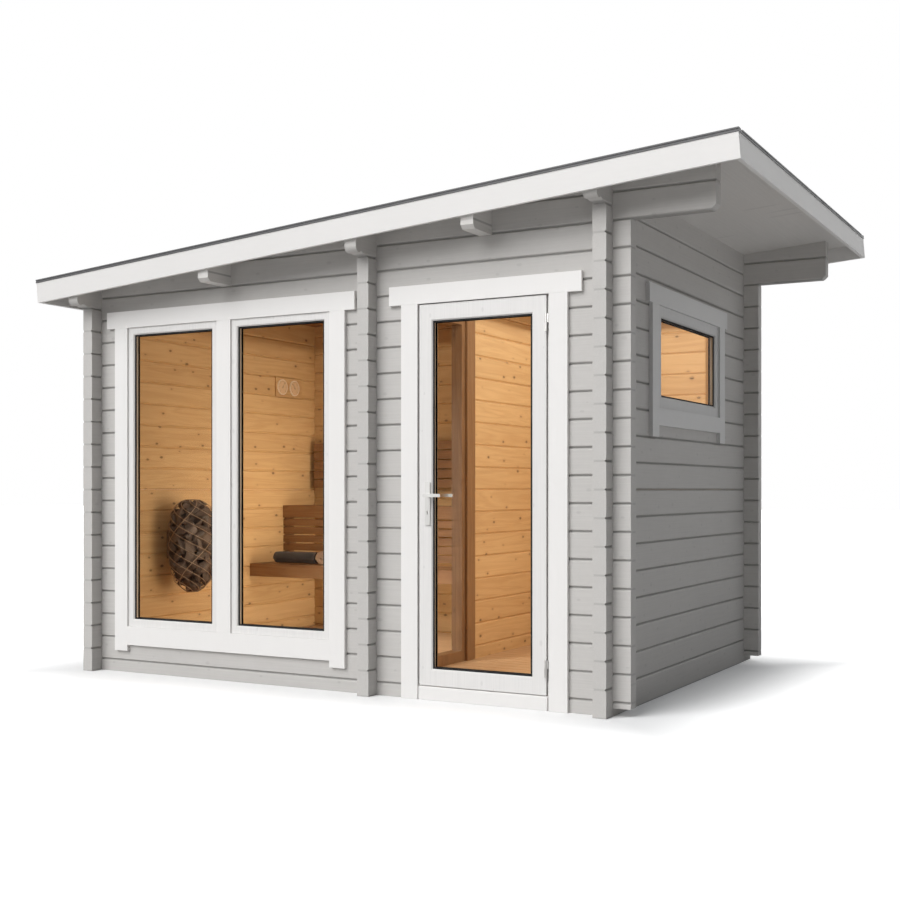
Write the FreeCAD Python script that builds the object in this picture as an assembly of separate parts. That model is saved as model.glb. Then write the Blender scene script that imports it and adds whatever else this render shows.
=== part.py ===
import FreeCAD, Part
import math
import os

V = FreeCAD.Vector

# Logs: machined timber, stacked in courses and half-lapped where two walls cross.
LOG_HEIGHT = 135.0
LOG_THICKNESS = 70.0
LOG_CHAMFER = 9.0
LOG_GAP = 0.3
LAP_CLEARANCE = 0.3

# Plan of the cabin: two rooms side by side behind one front wall.
SAUNA_ROOM_LENGTH = 1880.0
ENTRY_ROOM_LENGTH = 1256.0
ROOM_DEPTH = 2145.0
SIDE_LOG_PROJECTION = 80.0
FRONT_LOG_PROJECTION_LEFT = 76.0
FRONT_LOG_PROJECTION_RIGHT = 92.0
START_LOG_END_HEIGHT = 28.0

# Courses of full logs in each side wall, under its profiled top log.
LEFT_WALL_COURSES = 16
PARTITION_COURSES = 17
RIGHT_WALL_COURSES = 18

# Profiled ends of the top logs, measured out from the wall's face and up from the joint.
PROFILE_REACH = 198.0
PROFILE_TIP_RISE = 45.0
PROFILE_FRONT_LOBE_REACH = 165.0
PROFILE_FRONT_LOBE_RISE = 6.0
PROFILE_QUIRK_REACH = 148.0
PROFILE_QUIRK_RISE = 17.0
PROFILE_REAR_LOBE_REACH = 87.0

# Roof: one plane that rises to the right.
ROOF_PITCH = 4.38
TOP_LOG_RISE_AT_RIGHT_FACE = 125.0
ROOF_OVERHANG_LEFT = 246.0
ROOF_OVERHANG_RIGHT = 681.0
ROOF_OVERHANG_FRONT = 222.0
CANTILEVER_REACH = 505.0
CANTILEVER_CHAMFER = 25.0
WEDGE_TIP_HEIGHT = 6.0
DECK_THICKNESS = 28.0
COVERING_THICKNESS = 5.0
FASCIA_THICKNESS = 20.0
FASCIA_DROP = 85.0
TRIM_WIDTH = 60.0
TRIM_HEIGHT = 20.0
TRIM_LIP = 3.0
PURLIN_THICKNESS = 70.0
PURLIN_HEIGHT = 148.0
PURLIN_END_BEVEL = 20.0
PURLIN_OFFSETS = (1016.0, 2666.0)

# Floor and joinery.
FLOOR_THICKNESS = 63.0
FIT_GAP = 0.3
SEAT_GAP = 0.5
FRAME_THICKNESS = 35.0
SETTLING_SPACE = 21.5
CASING_WIDTH = 98.0
CASING_THICKNESS = 20.0
CASING_HEAD_Z = 2036.0
SASH_PROUD = 10.0
SASH_THICKNESS = 46.0
PANE_THICKNESS = 4.0
PANE_SPACING = 16.0
PANE_BITE = 10.0
SPACER_DEPTH = 12.0
GLASS_RECESS = 14.0
SASH_BEVEL = 6.0

# Outside door, hung on its right edge and opening outwards.
DOOR_LEFT = 2281.0
DOOR_CLEAR_WIDTH = 729.0
DOOR_SILL_HEIGHT = 70.0
DOOR_GAP = 5.0
DOOR_LATCH_GAP = 8.0
DOOR_THICKNESS = 56.0
DOOR_PROUD = 12.0
DOOR_STILE = 77.0
DOOR_RAIL = 86.0
DOOR_GLASS_RECESS = 10.0
DOOR_STOP_WIDTH = 15.0
DOOR_CASING_REVEAL = 13.0
DOOR_HEADER_OVERHANG = 74.0
HINGE_HEIGHT = 86.0
HINGE_RADIUS = 7.0
HINGE_PIN_RADIUS = 3.5
HINGE_PIN_CLEARANCE = 0.05
HINGE_AXIS_PROUD = 20.0
HINGE_PLATE_WIDTH = 12.0
HINGE_PLATE_THICKNESS = 3.0
HINGE_CENTRES = (205.0, 1895.0)
HANDLE_BACKSET = 51.0
HANDLE_Z = 1050.0
HANDLE_PLATE_WIDTH = 30.0
HANDLE_PLATE_THICKNESS = 8.0
HANDLE_PLATE_ABOVE = 70.0
HANDLE_PLATE_BELOW = 153.0
KEYHOLE_DROP = 89.0
LEVER_LENGTH = 94.0
LEVER_HEIGHT = 19.0
LEVER_THICKNESS = 10.0
LEVER_STAND_OFF = 34.0
LEVER_NECK_RADIUS = 9.0
SPINDLE_RADIUS = 4.5
SPINDLE_CLEARANCE = 0.1
LATCH_BORE_RADIUS = 8.0

# Doorway between the two rooms.
INNER_DOOR_FRONT = 290.0
INNER_DOOR_CLEAR = 655.0
INNER_DOOR_HEAD_Z = 2055.0
INNER_DOOR_SILL_Z = 126.0
INNER_LINING = 45.0
INNER_CASING_REVEAL = 38.0
INNER_CASING_WIDTH = 100.0
INNER_CASING_THICKNESS = 16.0

# Two-step bench along the back wall of the sauna room.
BENCH_END_GAP = 0.5
LOWER_SEAT_Z = 564.0
LOWER_SEAT_DEPTH = 385.0
UPPER_SEAT_Z = 966.0
UPPER_SEAT_DEPTH = 400.0
SEAT_SLATS = 4
SEAT_SLAT_THICKNESS = 28.0
SEAT_SLAT_GAP = 10.0
NOSE_HEIGHT = 88.0
NOSE_THICKNESS = 28.0
BEARER_WIDTH = 45.0
SKIRT_SLAT_HEIGHT = 50.0
SKIRT_SLAT_GAP = 9.0
SKIRT_SLATS = 5
SKIRT_THICKNESS = 22.0
BACKREST_LOW_Z = 1094.0
BACKREST_SLATS = 5
BACKREST_SLAT_HEIGHT = 58.0
BACKREST_SLAT_GAP = 10.0
BACKREST_END_GAP = 40.0
BACKREST_BATTEN = 45.0

# Wall heater: a cage of stones on a bracket.
HEATER_FROM_WALL = 200.0
HEATER_FROM_FRONT = 520.0
HEATER_SIDES = 20
HEATER_PROFILE = ((430.0, 34.0), (470.0, 92.0), (504.0, 118.0), (552.0, 136.0), (601.0, 149.0),
                  (698.0, 159.0), (862.0, 151.0), (925.0, 143.0), (964.0, 126.0), (1003.0, 80.0),
                  (1020.0, 32.0))
BRACKET_WIDTH = 30.0
BRACKET_LOW_Z = 640.0
BRACKET_HIGH_Z = 820.0
BRACKET_THICKNESS = 6.0
BRACKET_ARM_HEIGHT = 20.0

# Thermometer and hygrometer on one board.
GAUGE_BOARD = (315.0, 138.0, 10.0)
GAUGE_BOARD_FROM_BACK = 181.0
GAUGE_Z = 1822.0
GAUGE_RADIUS = 56.0
GAUGE_DEPTH = 10.0
GAUGE_SHIFT = -12.0
GAUGE_SPACING = 146.0

# Rolled towels on the lower bench.
LONG_ROLL_LENGTH = 350.0
LONG_ROLL_RADIUS = 45.0
LONG_ROLL_FROM_WALL = 189.0
LONG_ROLL_FROM_EDGE = 55.0
CROSS_ROLL_LENGTH = 310.0
CROSS_ROLL_RADIUS = 50.0
CROSS_ROLL_FROM_WALL = 598.0
CROSS_ROLL_FROM_EDGE = 4.0
TOWEL_CLEARANCE = 0.3

BODY_LENGTH = SAUNA_ROOM_LENGTH + ENTRY_ROOM_LENGTH + 3 * LOG_THICKNESS
BODY_DEPTH = ROOM_DEPTH + 2 * LOG_THICKNESS
ROOF_LENGTH = BODY_LENGTH + ROOF_OVERHANG_LEFT + ROOF_OVERHANG_RIGHT
ROOF_FRONT = -BODY_DEPTH / 2 - ROOF_OVERHANG_FRONT
ROOF_BACK = -ROOF_FRONT
LEFT_X = -ROOF_LENGTH / 2 + ROOF_OVERHANG_LEFT
PARTITION_X = LEFT_X + LOG_THICKNESS + SAUNA_ROOM_LENGTH
RIGHT_X = PARTITION_X + LOG_THICKNESS + ENTRY_ROOM_LENGTH
RIGHT_FACE = RIGHT_X + LOG_THICKNESS
FRONT_Y = -BODY_DEPTH / 2
BACK_Y = BODY_DEPTH / 2 - LOG_THICKNESS
BACK_FACE = BODY_DEPTH / 2
FRONT_INSIDE = FRONT_Y + LOG_THICKNESS
SAUNA_LEFT = LEFT_X + LOG_THICKNESS
ENTRY_LEFT = PARTITION_X + LOG_THICKNESS
SLOPE = math.tan(math.radians(ROOF_PITCH))
SOFFIT_AT_RIGHT_FACE = RIGHT_WALL_COURSES * LOG_HEIGHT + TOP_LOG_RISE_AT_RIGHT_FACE
ROOF_TOP = DECK_THICKNESS + COVERING_THICKNESS + TRIM_HEIGHT


class Window:
    """Sizes of one window, measured along its wall from the wall's lower end."""

    def __init__(self, start, width, sill_z, lights, stile, sill_member, leg_drop, apron, overhang):
        self.start = start
        self.width = width
        self.sill_z = sill_z
        self.height = CASING_HEAD_Z - sill_z
        self.lights = lights
        self.stile = stile
        self.sill_member = sill_member
        self.leg_drop = leg_drop
        self.apron = apron
        self.overhang = overhang

    def light_spans(self):
        """Low and high end of each light between the jambs and the mullions."""
        clear = (self.width - (self.lights - 1) * CASING_WIDTH) / self.lights
        return [(i * (clear + CASING_WIDTH), i * (clear + CASING_WIDTH) + clear) for i in range(self.lights)]

    def rough_opening(self):
        """The hole that the frame stands in, in the window's own place."""
        return box(-FRAME_THICKNESS, self.width + FRAME_THICKNESS, -1, LOG_THICKNESS + 1,
                   -self.sill_member, self.height + FRAME_THICKNESS + SETTLING_SPACE)


FRONT_WINDOW = Window(start=293.0, width=1440.0, sill_z=273.0, lights=2, stile=43.0, sill_member=70.5,
                      leg_drop=146.0, apron=110.0, overhang=63.0)
SIDE_WINDOW = Window(start=600.0, width=1050.0, sill_z=1503.0, lights=1, stile=60.0, sill_member=18.0,
                     leg_drop=150.0, apron=90.0, overhang=46.0)


def box(x0, x1, y0, y1, z0, z1):
    return Part.makeBox(x1 - x0, y1 - y0, z1 - z0, V(x0, y0, z0))


def prism(points, direction):
    return Part.Face(Part.makePolygon(points + [points[0]])).extrude(direction)


def cylinder(radius, length, base, direction):
    return Part.makeCylinder(radius, length, base, direction)


def soffit_z(x):
    return SOFFIT_AT_RIGHT_FACE + SLOPE * (x - RIGHT_FACE)


def soffit_x(z):
    return RIGHT_FACE + (z - SOFFIT_AT_RIGHT_FACE) / SLOPE


def above_soffit():
    """Everything over the roof's underside, to cut the wall tops to the slope."""
    reach = ROOF_LENGTH
    rise = 2 * LOG_HEIGHT
    low = V(-reach, ROOF_FRONT, soffit_z(-reach) - FIT_GAP)
    high = V(reach, ROOF_FRONT, soffit_z(reach) - FIT_GAP)
    top = high.z + rise
    return prism([low, high, V(reach, ROOF_FRONT, top), V(-reach, ROOF_FRONT, top)],
                 V(0, ROOF_BACK - ROOF_FRONT, 0))


def log(axis, start, end, face, bottom, top, flat_bottom=False):
    """A chamfered log along X or Y whose lower face lies at face on the other axis."""
    t = LOG_THICKNESS
    c = LOG_CHAMFER
    foot = [(0, bottom), (t, bottom)] if flat_bottom else [(0, bottom + c), (c, bottom), (t - c, bottom),
                                                           (t, bottom + c)]
    section = foot + [(t, top - c), (t - c, top), (c, top), (0, top - c)]
    if axis == "X":
        return prism([V(start, face + a, z) for a, z in section], V(end - start, 0, 0))
    return prism([V(face + a, start, z) for a, z in section], V(0, end - start, 0))


def laps(axis, crossings, face, course_bottom):
    """The waste above and below a log's middle half at each wall that crosses it."""
    middle = course_bottom + LOG_HEIGHT / 2
    half_neck = LOG_HEIGHT / 4 - LAP_CLEARANCE / 2
    waste = []
    for crossing in crossings:
        a0 = crossing - LAP_CLEARANCE
        a1 = crossing + LOG_THICKNESS + LAP_CLEARANCE
        c0 = face - 1
        c1 = face + LOG_THICKNESS + 1
        for z0, z1 in ((course_bottom - 1, middle - half_neck), (middle + half_neck, middle + LOG_HEIGHT)):
            if axis == "X":
                waste.append(box(a0, a1, c0, c1, z0, z1))
            else:
                waste.append(box(c0, c1, a0, a1, z0, z1))
    return waste


def solids(shapes):
    """All the solids of some shapes, as one compound for one node."""
    found = []
    for shape in shapes:
        found.extend(shape.Solids)
    return Part.makeCompound(found)


def gable_wall(face, openings):
    """Front or back wall: a half log at the foot, then courses up to the slope of the roof."""
    crossings = (LEFT_X, PARTITION_X, RIGHT_X)
    sky = above_soffit()
    left_end = LEFT_X - FRONT_LOG_PROJECTION_LEFT
    end_foot = LOG_HEIGHT / 2 - START_LOG_END_HEIGHT
    logs = []
    course_bottom = -LOG_HEIGHT / 2
    while soffit_z(RIGHT_FACE) - course_bottom > WEDGE_TIP_HEIGHT:
        course_top = course_bottom + LOG_HEIGHT
        is_cantilever = course_top > RIGHT_WALL_COURSES * LOG_HEIGHT
        start = max(left_end, soffit_x(course_bottom + WEDGE_TIP_HEIGHT))
        end = RIGHT_FACE + (CANTILEVER_REACH if is_cantilever else FRONT_LOG_PROJECTION_RIGHT)
        bottom = max(course_bottom + LOG_GAP / 2, 0)
        timber = log("X", start, end, face, bottom, course_top - LOG_GAP / 2, flat_bottom=bottom == 0)
        waste = laps("X", crossings, face, course_bottom) + list(openings)
        if bottom == 0:
            waste.append(box(start - 1, LEFT_X, face - 1, face + LOG_THICKNESS + 1, -1, end_foot))
            waste.append(box(RIGHT_FACE, end + 1, face - 1, face + LOG_THICKNESS + 1, -1, end_foot))
        if is_cantilever and course_bottom < RIGHT_WALL_COURSES * LOG_HEIGHT:
            waste.append(prism([V(end - CANTILEVER_CHAMFER, face - 1, bottom - 1),
                                V(end + 1, face - 1, bottom - 1),
                                V(end + 1, face - 1, bottom + CANTILEVER_CHAMFER)],
                               V(0, LOG_THICKNESS + 2, 0)))
        logs.append(timber.cut(waste + purlin_pockets() + [sky]))
        course_bottom = course_top
    return solids(logs)


def side_wall(face, courses, openings=()):
    """Left wall, partition or right wall: full logs that run out past the front and back walls."""
    start = FRONT_Y - SIDE_LOG_PROJECTION
    end = BACK_FACE + SIDE_LOG_PROJECTION
    logs = []
    for course in range(courses):
        bottom = course * LOG_HEIGHT
        timber = log("Y", start, end, face, max(bottom + LOG_GAP / 2, 0) if course else 0,
                     bottom + LOG_HEIGHT - LOG_GAP / 2, flat_bottom=course == 0)
        logs.append(timber.cut(laps("Y", (FRONT_Y, BACK_Y), face, bottom) + list(openings)))
    return solids(logs)


def profile_waste(face, wall_face, outward, joint_z):
    """What is cut from a top log's end to leave its two lobes, the quirk between them and the tip."""
    def at(reach, rise):
        return V(face - 1, wall_face + outward * reach, joint_z + rise)

    front_lobe = Part.Arc(at(PROFILE_FRONT_LOBE_REACH, PROFILE_FRONT_LOBE_RISE),
                          at((PROFILE_FRONT_LOBE_REACH + 2 * PROFILE_REACH) / 3, PROFILE_TIP_RISE / 3),
                          at(PROFILE_REACH, PROFILE_TIP_RISE)).toShape()
    rear_lobe = Part.Arc(at(PROFILE_REAR_LOBE_REACH, 0),
                         at((PROFILE_REAR_LOBE_REACH + PROFILE_QUIRK_REACH) / 2, PROFILE_QUIRK_RISE / 4),
                         at(PROFILE_QUIRK_REACH, PROFILE_QUIRK_RISE)).toShape()
    quirk = Part.makeLine(at(PROFILE_QUIRK_REACH, PROFILE_QUIRK_RISE),
                          at(PROFILE_FRONT_LOBE_REACH, PROFILE_FRONT_LOBE_RISE))
    below = -LOG_CHAMFER
    beyond = PROFILE_REACH + LOG_CHAMFER
    rest = Part.makePolygon([at(PROFILE_REACH, PROFILE_TIP_RISE), at(beyond, PROFILE_TIP_RISE),
                             at(beyond, below), at(PROFILE_REAR_LOBE_REACH, below),
                             at(PROFILE_REAR_LOBE_REACH, 0)])
    wire = Part.Wire(Part.__sortEdges__([rear_lobe, quirk, front_lobe] + rest.Edges))
    return Part.Face(wire).extrude(V(LOG_THICKNESS + 2, 0, 0))


def top_log(face, courses):
    """The taller log on top of a side wall, cut to the roof's slope and profiled at both ends."""
    joint_z = courses * LOG_HEIGHT
    timber = log("Y", FRONT_Y - PROFILE_REACH, BACK_FACE + PROFILE_REACH, face, joint_z + LOG_GAP / 2,
                 joint_z + 2 * LOG_HEIGHT)
    waste = laps("Y", (FRONT_Y, BACK_Y), face, joint_z)
    waste.append(profile_waste(face, FRONT_Y, -1, joint_z))
    waste.append(profile_waste(face, BACK_FACE, 1, joint_z))
    return timber.cut(waste + [above_soffit()])


def purlin(offset, clearance=0.0):
    """A roof beam from front to back, with its lower front and back edges bevelled."""
    x0 = LEFT_X + offset - PURLIN_THICKNESS / 2
    low = soffit_z(LEFT_X + offset) - PURLIN_HEIGHT
    front = ROOF_FRONT + FASCIA_THICKNESS + TRIM_LIP + FIT_GAP
    beam = box(x0 - clearance, x0 + PURLIN_THICKNESS + clearance, front, -front, low - clearance,
               low + 2 * PURLIN_HEIGHT)
    if clearance:
        return beam
    bevels = []
    for y, inward in ((front, 1), (-front, -1)):
        bevels.append(prism([V(x0 - 1, y - inward, low - 1),
                             V(x0 - 1, y + inward * PURLIN_END_BEVEL, low - 1),
                             V(x0 - 1, y - inward, low + PURLIN_END_BEVEL)], V(PURLIN_THICKNESS + 2, 0, 0)))
    return beam.cut(bevels + [above_soffit()])


def purlin_pockets():
    return [purlin(offset, clearance=LAP_CLEARANCE) for offset in PURLIN_OFFSETS]


def on_slope(shape):
    """Lay a shape drawn on the level, with X from the right wall's face, on the roof's underside."""
    shape.rotate(V(0, 0, 0), V(0, 1, 0), -ROOF_PITCH)
    shape.translate(V(RIGHT_FACE, 0, SOFFIT_AT_RIGHT_FACE))
    return shape


def roof_ends():
    """Where the roof's outer edges lie along its slope, so that it spans the roof's level length."""
    pitch = math.radians(ROOF_PITCH)
    high_end = (ROOF_OVERHANG_RIGHT - FASCIA_DROP * math.sin(pitch)) / math.cos(pitch) + TRIM_LIP
    low_end = -(BODY_LENGTH + ROOF_OVERHANG_LEFT - ROOF_TOP * math.sin(pitch)) / math.cos(pitch)
    return low_end, high_end


def edge_trim_section(outer, inward):
    """Section of the roof edge: a grooved face outside and a slope down to the covering inside."""
    base = DECK_THICKNESS + COVERING_THICKNESS + FIT_GAP
    top = ROOF_TOP
    third = (top - base) / 3
    return [(outer, base), (outer, base + third), (outer + inward * TRIM_LIP, base + 1.3 * third),
            (outer + inward * TRIM_LIP, base + 1.7 * third), (outer, base + 2 * third), (outer, top),
            (outer + inward * TRIM_WIDTH / 2, top), (outer + inward * TRIM_WIDTH, base)]


def roof():
    """Deck, covering, fascias and edge trim."""
    low_end, high_end = roof_ends()
    s0 = low_end + TRIM_LIP
    s1 = high_end - TRIM_LIP
    y0 = ROOF_FRONT + TRIM_LIP
    y1 = ROOF_BACK - TRIM_LIP
    f = FASCIA_THICKNESS
    cover_top = DECK_THICKNESS + COVERING_THICKNESS
    inner = (s0 + f + FIT_GAP, s1 - f - FIT_GAP, y0 + f + FIT_GAP, y1 - f - FIT_GAP)
    parts = {
        "roof_deck": [box(*inner, 0, DECK_THICKNESS)],
        "roof_covering": [box(*inner, DECK_THICKNESS, cover_top)],
        "roof_fascia": [box(s0, s1, y, y + f, -FASCIA_DROP, cover_top) for y in (y0, y1 - f)] +
                       [box(s, s + f, y0 + f + FIT_GAP, y1 - f - FIT_GAP, -FASCIA_DROP, cover_top)
                        for s in (s0, s1 - f)],
        "roof_edge_trim": [],
    }
    for y, inward in ((ROOF_FRONT, 1), (ROOF_BACK, -1)):
        section = [V(low_end, a, z) for a, z in edge_trim_section(y, inward)]
        parts["roof_edge_trim"].append(prism(section, V(high_end - low_end, 0, 0)))
    side_start = ROOF_FRONT + TRIM_WIDTH + FIT_GAP
    for s, inward in ((low_end, 1), (high_end, -1)):
        section = [V(a, side_start, z) for a, z in edge_trim_section(s, inward)]
        parts["roof_edge_trim"].append(prism(section, V(0, -2 * side_start, 0)))
    return {name: solids([on_slope(shape) for shape in shapes]) for name, shapes in parts.items()}


def glazed_frame(x0, x1, z0, z1, y0, y1, stile, rail_low, rail_high, recess, bevel):
    """A sash or a door leaf: a frame with a groove for its glass unit and bevelled front edges."""
    gx0, gx1, gz0, gz1 = x0 + stile, x1 - stile, z0 + rail_low, z1 - rail_high
    unit_depth = 2 * PANE_THICKNESS + PANE_SPACING
    frame = box(x0, x1, y0, y1, z0, z1)
    bite = PANE_BITE + FIT_GAP
    groove = box(gx0 - bite, gx1 + bite, y0 + recess - FIT_GAP, y0 + recess + unit_depth + FIT_GAP,
                 gz0 - bite, gz1 + bite)
    opening = box(gx0, gx1, y0 - 1, y1 + 1, gz0, gz1)

    def corners(grow, y):
        return Part.makePolygon([V(gx0 - grow, y, gz0 - grow), V(gx1 + grow, y, gz0 - grow),
                                 V(gx1 + grow, y, gz1 + grow), V(gx0 - grow, y, gz1 + grow),
                                 V(gx0 - grow, y, gz0 - grow)])

    splay = Part.makeLoft([corners(bevel, y0), corners(0, y0 + bevel)], True, True)
    return frame.cut([opening, groove, splay])


def glass_unit(x0, x1, z0, z1, front):
    """Two panes and the spacer between them; x and z are the sight lines of the frame round it."""
    b = PANE_BITE
    panes = [box(x0 - b, x1 + b, y, y + PANE_THICKNESS, z0 - b, z1 + b)
             for y in (front, front + PANE_THICKNESS + PANE_SPACING)]
    y0 = front + PANE_THICKNESS + FIT_GAP
    y1 = front + PANE_THICKNESS + PANE_SPACING - FIT_GAP
    ring = box(x0 - b, x1 + b, y0, y1, z0 - b, z1 + b)
    s = SPACER_DEPTH - b
    return panes, ring.cut(box(x0 + s, x1 - s, y0 - 1, y1 + 1, z0 + s, z1 - s))


def window_parts(window):
    """One window in its own place: origin at the sill's left end, on the wall's outer face."""
    w, h = window.width, window.height
    ft = FRAME_THICKNESS
    frame = box(-ft + FIT_GAP, w + ft - FIT_GAP, 0, LOG_THICKNESS, -window.sill_member + FIT_GAP, h + ft)
    sashes, panes, spacers = [], [], []
    c = CASING_WIDTH
    boards = [box(-c - window.overhang, w + c + window.overhang, -CASING_THICKNESS, 0, h, h + c),
              box(FIT_GAP, w - FIT_GAP, -CASING_THICKNESS, 0, -window.apron, 0)]
    for x in (-c, w):
        boards.append(box(x, x + c, -CASING_THICKNESS, 0, -window.leg_drop, h - FIT_GAP))
    for x0, x1 in window.light_spans():
        frame = frame.cut(box(x0, x1, -1, LOG_THICKNESS + 1, 0, h))
        if x0 > 0:
            boards.append(box(x0 - c, x0, -CASING_THICKNESS, 0, FIT_GAP, h - FIT_GAP))
        g = SEAT_GAP
        sashes.append(glazed_frame(x0 + g, x1 - g, g, h - g, -SASH_PROUD, SASH_THICKNESS - SASH_PROUD,
                                   window.stile, window.stile, window.stile, GLASS_RECESS, SASH_BEVEL))
        unit, spacer = glass_unit(x0 + g + window.stile, x1 - g - window.stile, g + window.stile,
                                  h - g - window.stile, GLASS_RECESS - SASH_PROUD)
        panes.extend(unit)
        spacers.append(spacer)
    return {"frame": [frame], "sash": sashes, "glass": panes, "spacer": spacers, "casing": boards}


def on_front_wall(shape, start, z):
    moved = shape.copy()
    moved.translate(V(LEFT_X + start, FRONT_Y, z))
    return moved


def on_right_wall(shape, start, z):
    moved = shape.copy()
    moved.rotate(V(0, 0, 0), V(0, 0, 1), 90)
    moved.translate(V(RIGHT_FACE, FRONT_Y + start, z))
    return moved


def door_opening():
    """The hole in the front wall for the door's frame, down to the ground."""
    top = CASING_HEAD_Z + FRAME_THICKNESS + SETTLING_SPACE
    return box(-FRAME_THICKNESS, DOOR_CLEAR_WIDTH + FRAME_THICKNESS, -1, LOG_THICKNESS + 1, -1, top)


def hinge_halves(middle_z):
    """The frame's half with the pin, above, and the leaf's half, below."""
    axis_x = DOOR_CLEAR_WIDTH - DOOR_GAP / 2
    up = V(0, 0, 1)
    half = HINGE_HEIGHT / 2
    bore = HINGE_PIN_RADIUS + HINGE_PIN_CLEARANCE
    upper = cylinder(HINGE_RADIUS, half - FIT_GAP, V(axis_x, -HINGE_AXIS_PROUD, middle_z + FIT_GAP), up)
    pin = cylinder(HINGE_PIN_RADIUS, half, V(axis_x, -HINGE_AXIS_PROUD, middle_z - half + FIT_GAP), up)
    arm = box(DOOR_CLEAR_WIDTH + 1, DOOR_CLEAR_WIDTH + DOOR_CASING_REVEAL - 2, -HINGE_AXIS_PROUD, 0,
              middle_z + FIT_GAP, middle_z + half)
    lower = cylinder(HINGE_RADIUS, half, V(axis_x, -HINGE_AXIS_PROUD, middle_z - half), up)
    plate = box(DOOR_CLEAR_WIDTH - DOOR_GAP / 2 - HINGE_PLATE_WIDTH, axis_x,
                -DOOR_PROUD - HINGE_PLATE_THICKNESS, -DOOR_PROUD, middle_z - half, middle_z)
    hole = cylinder(bore, HINGE_HEIGHT, V(axis_x, -HINGE_AXIS_PROUD, middle_z - half - 1), up)
    return upper.fuse([pin, arm]).removeSplitter(), lower.fuse(plate).cut(hole)


def door_parts():
    """The outside door in its own place: origin at the foot of the left jamb, on the wall's face."""
    w = DOOR_CLEAR_WIDTH
    head = CASING_HEAD_Z
    ft = FRAME_THICKNESS
    c = CASING_WIDTH
    back = DOOR_THICKNESS - DOOR_PROUD
    frame = box(-ft + FIT_GAP, w + ft - FIT_GAP, 0, LOG_THICKNESS, 0, head + ft)
    frame = frame.cut([box(0, w, -1, back + DOOR_GAP, -1, head),
                       box(DOOR_STOP_WIDTH, w - DOOR_STOP_WIDTH, -1, LOG_THICKNESS + 1,
                           -1, head - DOOR_STOP_WIDTH),
                       box(-1, w + 1, -1, LOG_THICKNESS + 1, -1, DOOR_SILL_HEIGHT + FIT_GAP)])
    jamb_feet = [box(x0, x1, 0, LOG_THICKNESS, 0, DOOR_SILL_HEIGHT + FIT_GAP)
                 for x0, x1 in ((-ft + FIT_GAP, 0), (w, w + ft - FIT_GAP))]
    frame = frame.fuse(jamb_feet).removeSplitter()
    nose = 6.0
    threshold = prism([V(FIT_GAP, -DOOR_PROUD, 0), V(FIT_GAP, LOG_THICKNESS, 0),
                       V(FIT_GAP, LOG_THICKNESS, DOOR_SILL_HEIGHT),
                       V(FIT_GAP, -DOOR_PROUD + nose, DOOR_SILL_HEIGHT),
                       V(FIT_GAP, -DOOR_PROUD, DOOR_SILL_HEIGHT - nose)], V(w - 2 * FIT_GAP, 0, 0))
    reveal = DOOR_CASING_REVEAL
    casing = [box(-c - DOOR_HEADER_OVERHANG, w + reveal + c + DOOR_HEADER_OVERHANG, -CASING_THICKNESS, 0,
                  head, head + c),
              box(-c, 0, -CASING_THICKNESS, 0, 0, head - FIT_GAP),
              box(w + reveal, w + reveal + c, -CASING_THICKNESS, 0, 0, head - FIT_GAP)]
    leaf_low = DOOR_SILL_HEIGHT + DOOR_GAP
    leaf_high = head - DOOR_GAP
    leaf = glazed_frame(DOOR_LATCH_GAP, w - DOOR_GAP, leaf_low, leaf_high, -DOOR_PROUD, back, DOOR_STILE,
                        DOOR_RAIL, DOOR_RAIL, DOOR_GLASS_RECESS, SASH_BEVEL)
    spindle_x = DOOR_LATCH_GAP + HANDLE_BACKSET
    leaf = leaf.cut(cylinder(LATCH_BORE_RADIUS, DOOR_THICKNESS + 2, V(spindle_x, -DOOR_PROUD - 1, HANDLE_Z),
                             V(0, 1, 0)))
    panes, spacer = glass_unit(DOOR_LATCH_GAP + DOOR_STILE, w - DOOR_GAP - DOOR_STILE, leaf_low + DOOR_RAIL,
                               leaf_high - DOOR_RAIL, DOOR_GLASS_RECESS - DOOR_PROUD)
    hinges = [hinge_halves(z) for z in HINGE_CENTRES]
    plates, levers = handle_parts(spindle_x)
    return {"door_frame": [frame], "door_threshold": [threshold], "door_casing": casing, "door_leaf": [leaf],
            "door_glass": panes, "door_glass_spacer": [spacer],
            "hinge_frame_halves": [h[0] for h in hinges], "hinge_leaf_halves": [h[1] for h in hinges],
            "door_handle_plates": plates, "door_levers": [levers]}


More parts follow.
